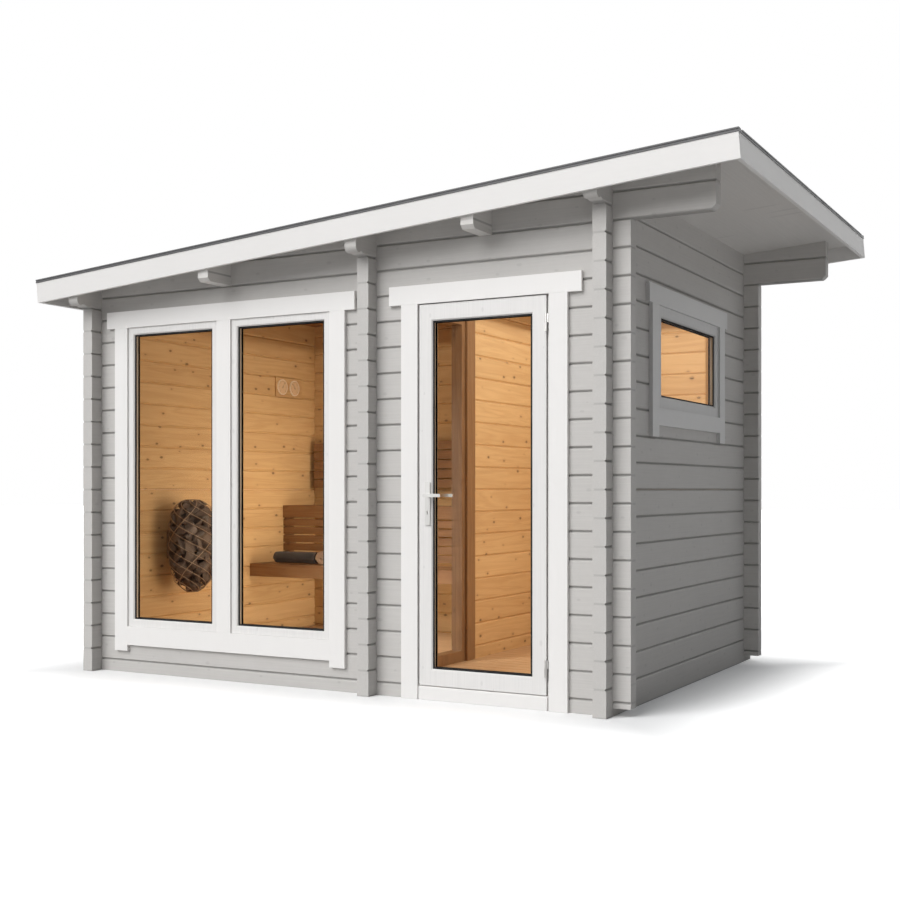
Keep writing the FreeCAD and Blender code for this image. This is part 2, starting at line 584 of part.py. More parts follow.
def handle_parts(spindle_x):
    """Long plates on both faces of the leaf, and the two levers on their shared spindle."""
    plates = []
    half = HANDLE_PLATE_WIDTH / 2
    inner_face = DOOR_THICKNESS - DOOR_PROUD
    along = V(0, 1, 0)
    reach = HANDLE_PLATE_THICKNESS + FIT_GAP
    lever = cylinder(SPINDLE_RADIUS, DOOR_THICKNESS + 2 * reach, V(spindle_x, -DOOR_PROUD - reach, HANDLE_Z),
                     along)
    for face, outward in ((-DOOR_PROUD, -1), (inner_face, 1)):
        y0, y1 = sorted((face, face + outward * HANDLE_PLATE_THICKNESS))
        plate = box(spindle_x - half, spindle_x + half, y0, y1, HANDLE_Z - HANDLE_PLATE_BELOW,
                    HANDLE_Z + HANDLE_PLATE_ABOVE)
        plate = plate.makeFillet(half / 3, [e for e in plate.Edges if is_along(e, along)])
        shaft_hole = cylinder(SPINDLE_RADIUS + SPINDLE_CLEARANCE, 3 * HANDLE_PLATE_THICKNESS,
                              V(spindle_x, y0 - HANDLE_PLATE_THICKNESS, HANDLE_Z), along)
        slot_z = HANDLE_Z - KEYHOLE_DROP
        keyhole = box(spindle_x - 2, spindle_x + 2, y0 - 1, y1 + 1, slot_z - 9, slot_z + 6)
        key_head = cylinder(4, 3 * HANDLE_PLATE_THICKNESS,
                            V(spindle_x, y0 - HANDLE_PLATE_THICKNESS, slot_z + 6), along)
        plates.append(plate.cut([shaft_hole, keyhole, key_head]))
        neck_start = face + outward * reach
        neck_end = neck_start + outward * LEVER_STAND_OFF
        n0, n1 = sorted((neck_start, neck_end))
        neck = cylinder(LEVER_NECK_RADIUS, n1 - n0, V(spindle_x, n0, HANDLE_Z), along)
        g0, g1 = sorted((neck_end, neck_end - outward * LEVER_THICKNESS))
        lever = lever.fuse([neck, grip(spindle_x, g0, g1)])
    return plates, lever.removeSplitter()


def grip(spindle_x, y0, y1):
    """A lever's flat grip: round at the spindle, narrower at the tip."""
    r = LEVER_HEIGHT / 2
    tip = 0.78 * r
    tip_x = spindle_x + LEVER_LENGTH
    outline = [Part.makeLine(V(spindle_x, y0, HANDLE_Z + r), V(tip_x, y0, HANDLE_Z + tip)),
               Part.makeLine(V(tip_x, y0, HANDLE_Z + tip), V(tip_x, y0, HANDLE_Z - tip)),
               Part.makeLine(V(tip_x, y0, HANDLE_Z - tip), V(spindle_x, y0, HANDLE_Z - r)),
               Part.Arc(V(spindle_x, y0, HANDLE_Z - r), V(spindle_x - r, y0, HANDLE_Z),
                        V(spindle_x, y0, HANDLE_Z + r)).toShape()]
    return Part.Face(Part.Wire(outline)).extrude(V(0, y1 - y0, 0))


def is_along(edge, direction):
    first, last = edge.Vertexes[0].Point, edge.Vertexes[-1].Point
    run = last.sub(first)
    return run.Length > 0 and run.cross(direction).Length < 1e-6 * run.Length


def inner_doorway():
    """Lining, sill and casings of the doorway between the rooms."""
    y0 = FRONT_Y + INNER_DOOR_FRONT
    y1 = y0 + INNER_DOOR_CLEAR
    lin = INNER_LINING
    head = INNER_DOOR_HEAD_Z
    x0, x1 = PARTITION_X, PARTITION_X + LOG_THICKNESS
    lining = box(x0, x1, y0 - lin + FIT_GAP, y1 + lin - FIT_GAP, 0, head + lin - FIT_GAP)
    lining = lining.cut(box(x0 - 1, x1 + 1, y0, y1, INNER_DOOR_SILL_Z, head))
    casing = []
    cw = INNER_CASING_WIDTH
    front_edge, back_edge = y0 - INNER_CASING_REVEAL, y1 + INNER_CASING_REVEAL
    top_edge = head + INNER_CASING_REVEAL
    for face, outward in ((x0, -1), (x1, 1)):
        c0, c1 = sorted((face, face + outward * INNER_CASING_THICKNESS))
        for low, high in ((front_edge - cw, front_edge), (back_edge, back_edge + cw)):
            casing.append(box(c0, c1, low, high, FLOOR_THICKNESS + FIT_GAP, top_edge - FIT_GAP))
        casing.append(box(c0, c1, front_edge - cw, back_edge + cw, top_edge, top_edge + cw))
    return {"inner_doorway_lining": [lining], "inner_doorway_casing": casing}


def inner_door_opening():
    y0 = FRONT_Y + INNER_DOOR_FRONT - INNER_LINING
    y1 = FRONT_Y + INNER_DOOR_FRONT + INNER_DOOR_CLEAR + INNER_LINING
    return box(PARTITION_X - 1, PARTITION_X + LOG_THICKNESS + 1, y0, y1, -1, INNER_DOOR_HEAD_Z + INNER_LINING)


def floor_parts():
    """One field of floor boards in each room, on the ground between the lowest logs."""
    rooms = ((SAUNA_LEFT, PARTITION_X), (ENTRY_LEFT, RIGHT_X))
    return [box(x0 + FIT_GAP, x1 - FIT_GAP, FRONT_INSIDE + FIT_GAP, BACK_Y - FIT_GAP, 0, FLOOR_THICKNESS)
            for x0, x1 in rooms]


def bench(front, depth, seat_z):
    """Seat slats behind a deep front board, on bearers at both ends of the room and in the middle."""
    x0 = SAUNA_LEFT + BENCH_END_GAP
    x1 = PARTITION_X - BENCH_END_GAP
    under = seat_z - SEAT_SLAT_THICKNESS
    pieces = [box(x0, x1, front, front + NOSE_THICKNESS, seat_z - NOSE_HEIGHT, seat_z)]
    slat_start = front + NOSE_THICKNESS + SEAT_SLAT_GAP
    pitch = (depth - NOSE_THICKNESS - SEAT_SLAT_GAP) / SEAT_SLATS
    for i in range(SEAT_SLATS):
        y0 = slat_start + i * pitch
        pieces.append(box(x0, x1, y0, y0 + pitch - SEAT_SLAT_GAP, under, seat_z))
    bearer_low = seat_z - NOSE_HEIGHT
    middle = (x0 + x1) / 2
    for b0 in (x0, middle - BEARER_WIDTH / 2, x1 - BEARER_WIDTH):
        pieces.append(box(b0, b0 + BEARER_WIDTH, front + NOSE_THICKNESS + FIT_GAP,
                          front + depth - SEAT_SLAT_GAP, bearer_low, under - FIT_GAP))
    return pieces


def bench_parts():
    upper_front = BACK_Y - UPPER_SEAT_DEPTH
    lower_front = upper_front - LOWER_SEAT_DEPTH
    x0 = SAUNA_LEFT + BENCH_END_GAP
    x1 = PARTITION_X - BENCH_END_GAP
    upper = bench(upper_front, UPPER_SEAT_DEPTH, UPPER_SEAT_Z)
    skirt_top = UPPER_SEAT_Z - NOSE_HEIGHT
    skirt_front = upper_front + NOSE_THICKNESS - SKIRT_THICKNESS
    pitch = SKIRT_SLAT_HEIGHT + SKIRT_SLAT_GAP
    for i in range(SKIRT_SLATS):
        z1 = skirt_top - SKIRT_SLAT_GAP - i * pitch
        upper.append(box(x0, x1, skirt_front, skirt_front + SKIRT_THICKNESS, z1 - SKIRT_SLAT_HEIGHT, z1))
    batten_front = upper_front + NOSE_THICKNESS + FIT_GAP
    batten_low = skirt_top - SKIRT_SLATS * pitch
    lower = bench(lower_front, LOWER_SEAT_DEPTH, LOWER_SEAT_Z)
    for b0 in (x0, (x0 + x1) / 2 - BEARER_WIDTH / 2, x1 - BEARER_WIDTH):
        upper.append(box(b0, b0 + BEARER_WIDTH, batten_front, batten_front + BEARER_WIDTH, batten_low,
                         skirt_top - FIT_GAP))
    rest = []
    slat_front = BACK_Y - BACKREST_BATTEN - SKIRT_THICKNESS
    rest_pitch = BACKREST_SLAT_HEIGHT + BACKREST_SLAT_GAP
    rest_top = BACKREST_LOW_Z + BACKREST_SLATS * rest_pitch - BACKREST_SLAT_GAP
    r0, r1 = SAUNA_LEFT + BACKREST_END_GAP, PARTITION_X - BACKREST_END_GAP
    for i in range(BACKREST_SLATS):
        z0 = BACKREST_LOW_Z + i * rest_pitch
        rest.append(box(r0, r1, slat_front, slat_front + SKIRT_THICKNESS, z0, z0 + BACKREST_SLAT_HEIGHT))
    quarter = (r1 - r0) / 4
    for k in (0.5, 2, 3.5):
        b0 = r0 + k * quarter - BEARER_WIDTH / 2
        rest.append(box(b0, b0 + BEARER_WIDTH, slat_front + SKIRT_THICKNESS + FIT_GAP, BACK_Y - FIT_GAP,
                        BACKREST_LOW_Z, rest_top))
    return {"lower_bench": lower, "upper_bench": upper, "bench_backrest": rest}


def heater_parts():
    """The round mass of stones, and the wall bracket whose arms hold its cage."""
    cx = SAUNA_LEFT + HEATER_FROM_WALL
    cy = FRONT_INSIDE + HEATER_FROM_FRONT
    rings = []
    for z, r in HEATER_PROFILE:
        turn = 2 * math.pi / HEATER_SIDES
        corners = [V(cx + r * math.cos((i + 0.5) * turn), cy + r * math.sin((i + 0.5) * turn), z)
                   for i in range(HEATER_SIDES)]
        rings.append(Part.makePolygon(corners + [corners[0]]))
    stones = Part.makeLoft(rings, True, True)
    half = BRACKET_WIDTH / 2
    bracket = box(SAUNA_LEFT + FIT_GAP, SAUNA_LEFT + BRACKET_THICKNESS, cy - half, cy + half,
                  BRACKET_LOW_Z, BRACKET_HIGH_Z)
    for z in (BRACKET_LOW_Z, BRACKET_HIGH_Z - BRACKET_ARM_HEIGHT):
        bracket = bracket.fuse(box(SAUNA_LEFT + FIT_GAP, cx, cy - half, cy + half, z, z + BRACKET_ARM_HEIGHT))
    grown = stones.copy()
    around = V(cx, cy, (HEATER_PROFILE[0][0] + HEATER_PROFILE[-1][0]) / 2)
    grown.scale(1 + FIT_GAP / max(r for _, r in HEATER_PROFILE), around)
    return {"heater_stones": [stones], "heater_bracket": [bracket.cut(grown).removeSplitter()]}


def gauge_parts():
    """A board on the left wall with two round gauges side by side."""
    length, height, depth = GAUGE_BOARD
    y1 = BACK_Y - GAUGE_BOARD_FROM_BACK
    y0 = y1 - length
    x = SAUNA_LEFT + FIT_GAP
    board = box(x, x + depth, y0, y1, GAUGE_Z - height / 2, GAUGE_Z + height / 2)
    round_edges = [e for e in board.Edges if is_along(e, V(1, 0, 0)) and e.Vertexes[0].Point.y > y1 - 1]
    board = board.makeFillet(height / 4, round_edges)
    middle = (y0 + y1) / 2 + GAUGE_SHIFT
    gauges = [cylinder(GAUGE_RADIUS, GAUGE_DEPTH, V(x + depth, y, GAUGE_Z), V(1, 0, 0))
              for y in (middle - GAUGE_SPACING / 2, middle + GAUGE_SPACING / 2)]
    return {"gauge_board": [board], "gauges": gauges}


def towel_rolls():
    """Two rolled towels by the lower bench's front edge, one along the bench and one across it."""
    edge = BACK_Y - UPPER_SEAT_DEPTH - LOWER_SEAT_DEPTH
    seat = LOWER_SEAT_Z + TOWEL_CLEARANCE
    along = V(SAUNA_LEFT + LONG_ROLL_FROM_WALL, edge + LONG_ROLL_FROM_EDGE, seat + LONG_ROLL_RADIUS)
    across = V(SAUNA_LEFT + CROSS_ROLL_FROM_WALL, edge + CROSS_ROLL_FROM_EDGE, seat + CROSS_ROLL_RADIUS)
    return {"rolled_towels": [cylinder(LONG_ROLL_RADIUS, LONG_ROLL_LENGTH, along, V(1, 0, 0)),
                              cylinder(CROSS_ROLL_RADIUS, CROSS_ROLL_LENGTH, across, V(0, 1, 0))]}


def shared_out(name, wall, axis, holes, piers):
    """A wall's logs by place: in the head over the openings, under one, or in a pier beside it."""
    head_z = CASING_HEAD_Z + FRAME_THICKNESS + SETTLING_SPACE
    ends = [(hole.BoundBox.XMin, hole.BoundBox.XMax) if axis == "X" else
            (hole.BoundBox.YMin, hole.BoundBox.YMax) for hole in holes]
    places = {}
    for timber in wall.Solids:
        middle = timber.BoundBox.Center
        along = middle.x if axis == "X" else middle.y
        if timber.BoundBox.ZMax > head_z:
            place = "head"
        elif any(low < along < high for low, high in ends):
            place = "below_window"
        else:
            place = piers[sum(along > high for low, high in ends)]
        places.setdefault(name + "_" + place, []).append(timber)
    return {place: solids(logs) for place, logs in places.items()}


def build():
    """Every node of the cabin by name."""
    nodes = {}
    front_holes = [on_front_wall(FRONT_WINDOW.rough_opening(), FRONT_WINDOW.start, FRONT_WINDOW.sill_z),
                   on_front_wall(door_opening(), DOOR_LEFT, 0)]
    side_holes = [on_right_wall(SIDE_WINDOW.rough_opening(), SIDE_WINDOW.start, SIDE_WINDOW.sill_z)]
    nodes.update(shared_out("front_wall", gable_wall(FRONT_Y, front_holes), "X", front_holes,
                            ("left_pier", "middle_pier", "right_pier")))
    nodes.update(shared_out("back_wall", gable_wall(BACK_Y, ()), "X", (), ("lower_courses",)))
    nodes["left_wall"] = side_wall(LEFT_X, LEFT_WALL_COURSES)
    inner_holes = [inner_door_opening()]
    nodes.update(shared_out("partition", side_wall(PARTITION_X, PARTITION_COURSES, inner_holes), "Y",
                            inner_holes, ("front_pier", "back_part")))
    nodes.update(shared_out("right_wall", side_wall(RIGHT_X, RIGHT_WALL_COURSES, side_holes), "Y",
                            side_holes, ("front_pier", "back_pier")))
    nodes["profiled_top_logs"] = solids([top_log(LEFT_X, LEFT_WALL_COURSES),
                                         top_log(PARTITION_X, PARTITION_COURSES),
                                         top_log(RIGHT_X, RIGHT_WALL_COURSES)])
    nodes["roof_purlins"] = solids([purlin(offset) for offset in PURLIN_OFFSETS])
    nodes.update(roof())
    nodes["floor"] = solids(floor_parts())

    spacers = []
    for name, window, place in (("front", FRONT_WINDOW, on_front_wall), ("side", SIDE_WINDOW, on_right_wall)):
        for part, shapes in window_parts(window).items():
            placed = [place(shape, window.start, window.sill_z) for shape in shapes]
            if part == "spacer":
                spacers.extend(placed)
            else:
                nodes[name + "_window_" + part] = solids(placed)
    nodes["window_glass_spacers"] = solids(spacers)

    for part, shapes in door_parts().items():
        nodes[part] = solids([on_front_wall(shape, DOOR_LEFT, 0) for shape in shapes])

    for group in (inner_doorway(), bench_parts(), heater_parts(), gauge_parts(), towel_rolls()):
        for part, shapes in group.items():
            nodes[part] = solids(shapes)
    return nodes


def main():
    os.makedirs("parts", exist_ok=True)
    for name, shape in build().items():
        shape.exportStep(os.path.join("parts", name + ".step"))
        box_size = shape.BoundBox
        print(f"{name:24s} {len(shape.Solids):3d} solids  valid {shape.isValid()}  "
              f"x {box_size.XMin:8.1f} {box_size.XMax:8.1f}  y {box_size.YMin:8.1f} {box_size.YMax:8.1f}  "
              f"z {box_size.ZMin:8.1f} {box_size.ZMax:8.1f}")


main()
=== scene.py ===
import logging
import math
import random
from dataclasses import dataclass, field
from enum import Enum
from typing import ClassVar

import bmesh
import bpy
from mathutils import Matrix, Vector


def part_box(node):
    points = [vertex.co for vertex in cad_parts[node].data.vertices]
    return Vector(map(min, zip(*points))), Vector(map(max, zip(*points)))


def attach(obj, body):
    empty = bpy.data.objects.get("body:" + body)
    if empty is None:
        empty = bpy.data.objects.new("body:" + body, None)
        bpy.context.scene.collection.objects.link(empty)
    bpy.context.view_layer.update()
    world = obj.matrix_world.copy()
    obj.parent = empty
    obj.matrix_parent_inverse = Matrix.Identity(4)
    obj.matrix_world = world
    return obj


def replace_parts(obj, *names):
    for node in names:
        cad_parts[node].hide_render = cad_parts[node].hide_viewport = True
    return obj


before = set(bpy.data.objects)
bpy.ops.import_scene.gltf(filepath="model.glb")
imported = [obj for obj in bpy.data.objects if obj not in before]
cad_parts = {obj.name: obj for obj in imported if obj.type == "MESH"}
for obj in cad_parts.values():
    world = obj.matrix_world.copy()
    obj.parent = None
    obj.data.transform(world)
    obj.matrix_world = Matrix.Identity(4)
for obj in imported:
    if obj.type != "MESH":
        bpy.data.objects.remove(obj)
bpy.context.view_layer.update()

LOG_HEIGHT = 0.135
FLOOR_BOARD_WIDTH = 0.095
# Farther out than any piece, in metres.
BEYOND = 10.0
WELD_DISTANCE = 1e-5
STONE_TONE = "stone_tone"

log = logging.getLogger("sauna_cabin")

Pair = tuple[float, float]
Triple = tuple[float, float, float]
Corners = tuple[Vector, Vector]
Socket = bpy.types.NodeSocket
Look = tuple[Socket, object, Socket]
Shape = bpy.types.Object
Profile = tuple[Pair, ...]
Dressing = dict[str, tuple[str, ...]]


def toned(colour: Triple, factor: float) -> Triple:
    """A colour made darker or lighter by one factor."""
    return tuple(channel * factor for channel in colour)


def node_box(node: str) -> Corners:
    """The lowest and highest corners of a CAD node at rest.

    Args:
        node: the node's name.

    Returns:
        Both corners, in metres.
    """
    low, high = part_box(node)
    return Vector(low), Vector(high)


def four_walls() -> tuple[Corners, Corners, Corners, Corners]:
    """The corners of the left, right, front and back wall."""
    return (node_box("left_wall"), node_box("right_wall_head"), node_box("front_wall_head"),
            node_box("back_wall_head"))


def placed(name: str, data: bpy.types.ID) -> Shape:
    """Add a new object to the scene.

    Args:
        name: the object's name.
        data: its mesh, lamp or camera.

    Returns:
        The object.
    """
    shape = bpy.data.objects.new(name, data)
    bpy.context.scene.collection.objects.link(shape)
    return shape


def floor_pitch() -> Pair:
    """Where the floor's front edge lies, and the width of each of its boards with one gap."""
    low, high = node_box("floor")
    return low.y, (high.y - low.y) / round((high.y - low.y) / FLOOR_BOARD_WIDTH)


class Grain(Enum):
    """The way that a timber's grain runs, and for a level board also that it lies flat."""

    ALONG_X = "x"
    ALONG_Y = "y"
    UPRIGHT = "z"
    LEVEL_ALONG_X = "level"


class Course(Enum):
    """Where a wall's log joints lie: at whole log heights, or half a log lower."""

    WHOLE = 0.0
    HALF = 0.5


class Recipe:
    """A material's or a sky's node tree, with one short call for each kind of node."""

    # Where the Mix node keeps its two colours and their mixture.
    COLOURS = slice(6, 8)
    MIXED_COLOUR = 2

    def __init__(self, name: str, sky: bool = False) -> None:
        """Start an empty material or sky.

        Args:
            name: its name.
            sky: whether it is a sky.
        """
        self.owner = (bpy.data.worlds if sky else bpy.data.materials).new(name)
        self.owner.use_nodes = True
        self.tree = self.owner.node_tree
        self.tree.nodes.clear()
        self.output = self.node("OutputWorld" if sky else "OutputMaterial")
        self._place: Socket | None = None

    def node(self, kind: str) -> bpy.types.Node:
        """A new shader node of that kind."""
        return self.tree.nodes.new("ShaderNode" + kind)

    def feed(self, socket: Socket, value: object) -> None:
        """Link a socket to another, or set its value.

        Args:
            socket: the socket to fill.
            value: another socket, a number or a colour.
        """
        if isinstance(value, bpy.types.NodeSocket):
            self.tree.links.new(value, socket)
        elif isinstance(value, tuple) and len(value) == 3 and socket.type == "RGBA":
            socket.default_value = (*value, 1.0)
        else:
            socket.default_value = value

    def place(self) -> Socket:
        """Find the point on the piece in the cabin's frame.

        Returns:
            The point, in metres.
        """
        if self._place is None:
            self._place = self.node("TexCoord").outputs["Object"]
        return self._place

    def facing(self) -> Socket:
        """The surface's normal in the cabin's frame."""
        return self.node("TexCoord").outputs["Normal"]

    def ray(self, kind: str) -> Socket:
        """Whether the ray is of that kind, or how often it has bounced."""
        return self.node("LightPath").outputs[kind]

    def axes(self, vector: Socket) -> tuple[Socket, Socket, Socket]:
        """Take a vector apart.

        Args:
            vector: the vector.

        Returns:
            Its parts along X, Y and Z.
        """
        node = self.node("SeparateXYZ")
        self.feed(node.inputs[0], vector)
        return node.outputs[0], node.outputs[1], node.outputs[2]

    def stretch(self, parts: tuple[object, object, object], factors: Triple) -> Socket:
        """Join three values into a vector, each multiplied by its own factor.

        Args:
            parts: the sockets or numbers.
            factors: their factors.

        Returns:
            The vector.
        """
        node = self.node("CombineXYZ")
        for socket, part, factor in zip(node.inputs, parts, factors):
            self.feed(socket, self.times(part, factor))
        return node.outputs[0]

    def sum(self, operation: str, *values: object, clamp: bool = False) -> Socket:
        """One step of arithmetic.

        Args:
            operation: the Math node's operation.
            values: sockets or numbers, in order.
            clamp: whether the result is held between 0 and 1.

        Returns:
            The result's socket.
        """
        node = self.node("Math")
        node.operation = operation
        node.use_clamp = clamp
        for socket, value in zip(node.inputs, values):
            self.feed(socket, value)
        return node.outputs[0]

    def times(self, first: object, second: object, clamp: bool = False) -> Socket:
        """Two values multiplied."""
        return self.sum("MULTIPLY", first, second, clamp=clamp)

    def plus(self, first: object, second: object, clamp: bool = False) -> Socket:
        """Two values added."""
        return self.sum("ADD", first, second, clamp=clamp)

    def scaled(self, value: object, factor: object, start: object) -> Socket:
        """A value multiplied by a factor, and counted from a start."""
        return self.sum("MULTIPLY_ADD", value, factor, start)

    def spread(self, value: Socket, low: float, high: float, to_low: float = 0.0,
               to_high: float = 1.0) -> Socket:
        """Stretch the run of a value, with eased ends.

        Args:
            value: the value.
            low: where its run begins.
            high: where its run ends.
            to_low: the result at low.
            to_high: the result at high.

        Returns:
            The result's socket.
        """
        node = self.node("MapRange")
        node.interpolation_type = "SMOOTHSTEP"
        for name, number in (("From Min", low), ("From Max", high), ("To Min", to_low), ("To Max", to_high)):
            node.inputs[name].default_value = number
        self.feed(node.inputs["Value"], value)
        return node.outputs["Result"]

    def noise(self, vector: Socket, scale: float, detail: float = 3.0, distortion: float = 0.0) -> Socket:
        """Make soft cloudy noise.

        Args:
            vector: the point.
            scale: how fine the clouds are.
            detail: how many finer layers they have.
            distortion: how far they are warped.

        Returns:
            A value between 0 and 1.
        """
        node = self.node("TexNoise")
        self.feed(node.inputs["Vector"], vector)
        node.inputs["Scale"].default_value = scale
        node.inputs["Detail"].default_value = detail
        node.inputs["Distortion"].default_value = distortion
        return node.outputs["Fac"]

    def cells(self, vector: Socket, scale: float, flat: bool = False) -> tuple[Socket, Socket]:
        """Scatter points, and look for the nearest one.

        Args:
            vector: the point to look from.
            scale: how densely the points lie.
            flat: whether they lie in the XY plane.

        Returns:
            The distance to the nearest point, and its random colour.
        """
        node = self.node("TexVoronoi")
        node.voronoi_dimensions = "2D" if flat else "3D"
        self.feed(node.inputs["Vector"], vector)
        node.inputs["Scale"].default_value = scale
        return node.outputs["Distance"], node.outputs["Color"]

    def chance(self, value: Socket) -> Socket:
        """Draw a random number for each whole value.

        Args:
            value: the whole value.

        Returns:
            A value between 0 and 1.
        """
        node = self.node("TexWhiteNoise")
        node.noise_dimensions = "1D"
        self.feed(node.inputs["W"], value)
        return node.outputs["Value"]

    def mix(self, share: object, first: object, second: object) -> Socket:
        """Mix two colours.

        Args:
            share: how much of the second there is.
            first: the first colour.
            second: the second colour.

        Returns:
            The mixture.
        """
        node = self.node("Mix")
        node.data_type = "RGBA"
        for socket, value in zip((node.inputs["Factor"], *node.inputs[self.COLOURS]), (share, first, second)):
            self.feed(socket, value)
        return node.outputs[self.MIXED_COLOUR]

    def relief(self, height: Socket, depth: float) -> Socket:
        """Turn a height into normals.

        Args:
            height: the surface's height, from 0 to 1.
            depth: what a height of 1 stands for, in metres.

        Returns:
            The normals.
        """
        node = self.node("Bump")
        node.inputs["Distance"].default_value = depth
        self.feed(node.inputs["Height"], height)
        return node.outputs["Normal"]

    def surface(self, **sockets: object) -> bpy.types.Node:
        """Add a Principled shader.

        Args:
            sockets: its sockets by name, each with a socket or a value.

        Returns:
            The shader.
        """
        node = self.node("BsdfPrincipled")
        for name, value in sockets.items():
            self.feed(node.inputs[name.replace("_", " ")], value)
        return node

    def finish(self, shader: Socket) -> bpy.types.ID:
        """Send a shader to the output, and hand over the material or the sky."""
        self.feed(self.output.inputs["Surface"], shader)
        return self.owner


@dataclass(frozen=True)
class Finish:
    """A look that becomes a material."""

    name: str

    def pattern(self, recipe: Recipe) -> Look:
        """The colour, the roughness and the height of the relief at each point."""
        raise NotImplementedError

    def more(self) -> dict[str, float]:
        """The shader's other sockets that the finish sets."""
        return {}

    def material(self) -> bpy.types.Material:
        """Make an opaque material with a fine relief.

        Returns:
            The material.
        """
        recipe = Recipe(self.name)
        colour, roughness, height = self.pattern(recipe)
        shader = recipe.surface(Base_Color=colour, Roughness=roughness,
                                Normal=recipe.relief(height, self.grain_depth), **self.more())
        return recipe.finish(shader.outputs[0])


@dataclass(frozen=True)
class Timber(Finish):
    """Sawn timber with streaked grain, knots and a tone of its own for each board.

    A noise is its scale, detail and distortion. A reach is where a knot or its halo begins to show and
    where it is full. Other pairs are a factor and a start.
    """

    light: Triple
    dark: Triple
    grain: Grain
    board: float = LOG_HEIGHT
    offset: float = 0.0
    knots: float = 1.0
    roughness: float = 0.62
    flame: Triple = (0.9, 13.0, 13.0)
    flame_noise: Triple = (1.0, 2.0, 1.1)
    streak: Triple = (3.0, 160.0, 160.0)
    streak_noise: Pair = (1.0, 3.0)
    streak_tone: float = 0.42
    ring_count: float = 9.0
    board_shift: float = 7.31
    board_tones: Pair = (0.3, -0.12)
    knot_spacing: Triple = (5.5, 10.0, 1.0)
    knotless_share: float = 0.4
    knot_sizes: Pair = (1.0, 0.55)
    knot_tones: Pair = (0.5, 0.4)
    knot_reach: Pair = (0.075, 0.035)
    halo_reach: Pair = (0.22, 0.05)
    halo_tone: float = 0.35
    knot_shade: float = 0.32
    knot_height: float = 0.6
    grain_depth: float = 0.0004

    def coordinates(self, recipe: Recipe) -> tuple[Socket, Socket, Socket, Socket]:
        """Where a point lies in its board.

        Args:
            recipe: the material being made.

        Returns:
            The point along the grain, across it, through it, and the board's whole number.
        """
        x, y, z = recipe.axes(recipe.place())
        along, across, through = {"x": (x, z, y), "y": (y, z, x), "z": (z, x, y),
                                  "level": (x, y, z)}[self.grain.value]
        count = recipe.sum("DIVIDE", across, self.board)
        number = recipe.sum("FLOOR", recipe.plus(count, self.offset))
        return along, across, through, number

    def pattern(self, recipe: Recipe) -> Look:
        """Draw the bare wood with its grain and knots.

        Args:
            recipe: the material being made.

        Returns:
            The colour, the roughness and the relief's height.
        """
        along, across, through, number = self.coordinates(recipe)
        start = recipe.plus(along, recipe.times(number, self.board_shift))
        flame = recipe.noise(recipe.stretch((start, across, through), self.flame), *self.flame_noise)
        rings = recipe.sum("PINGPONG", recipe.times(flame, self.ring_count), 1.0)
        streaks = recipe.noise(recipe.stretch((start, across, through), self.streak), *self.streak_noise)
        tone = recipe.times(recipe.plus(rings, streaks), self.streak_tone)
        tone = recipe.plus(tone, recipe.scaled(recipe.chance(number), *self.board_tones), clamp=True)
        colour = recipe.mix(tone, self.light, self.dark)
        reach, which = recipe.cells(recipe.stretch((start, across, 0.0), self.knot_spacing), 1.0, flat=True)
        chance, size, _ = recipe.axes(which)
        kept = recipe.sum("GREATER_THAN", chance, self.knotless_share)
        reach = recipe.sum("DIVIDE", reach, recipe.scaled(size, *self.knot_sizes))
        knot = recipe.times(recipe.spread(reach, *self.knot_reach), kept)
        halo = recipe.times(recipe.spread(reach, *self.halo_reach), kept)
        colour = recipe.mix(recipe.times(halo, self.halo_tone * self.knots), colour, self.dark)
        ripeness = recipe.times(knot, recipe.scaled(size, *self.knot_tones))
        colour = recipe.mix(recipe.times(ripeness, self.knots), colour, toned(self.dark, self.knot_shade))
        return colour, self.roughness, recipe.scaled(knot, self.knot_height, streaks)


@dataclass(frozen=True)
class Paint(Finish):
    """Opaque wood paint, through which the grain shows faintly."""

    colour: Triple
    shade: Triple
    roughness: float = 0.45
    grain_depth: float = 0.0002
    streak: Triple = (1.0, 1.0, 1.0)
    fine_noise: Pair = (30.0, 4.0)
    broad_noise: Pair = (2.2, 2.0)
    mottle: float = 0.45

    def pattern(self, recipe: Recipe) -> Look:
        """Draw the paint, and the grain beneath it.

        Args:
            recipe: the material being made.

        Returns:
            The colour, the roughness and the relief's height.
        """
        fine = recipe.noise(recipe.stretch(recipe.axes(recipe.place()), self.streak), *self.fine_noise)
        broad = recipe.noise(recipe.place(), *self.broad_noise)
        share = recipe.times(recipe.plus(fine, broad), self.mottle)
        return recipe.mix(share, self.colour, self.shade), self.roughness, fine


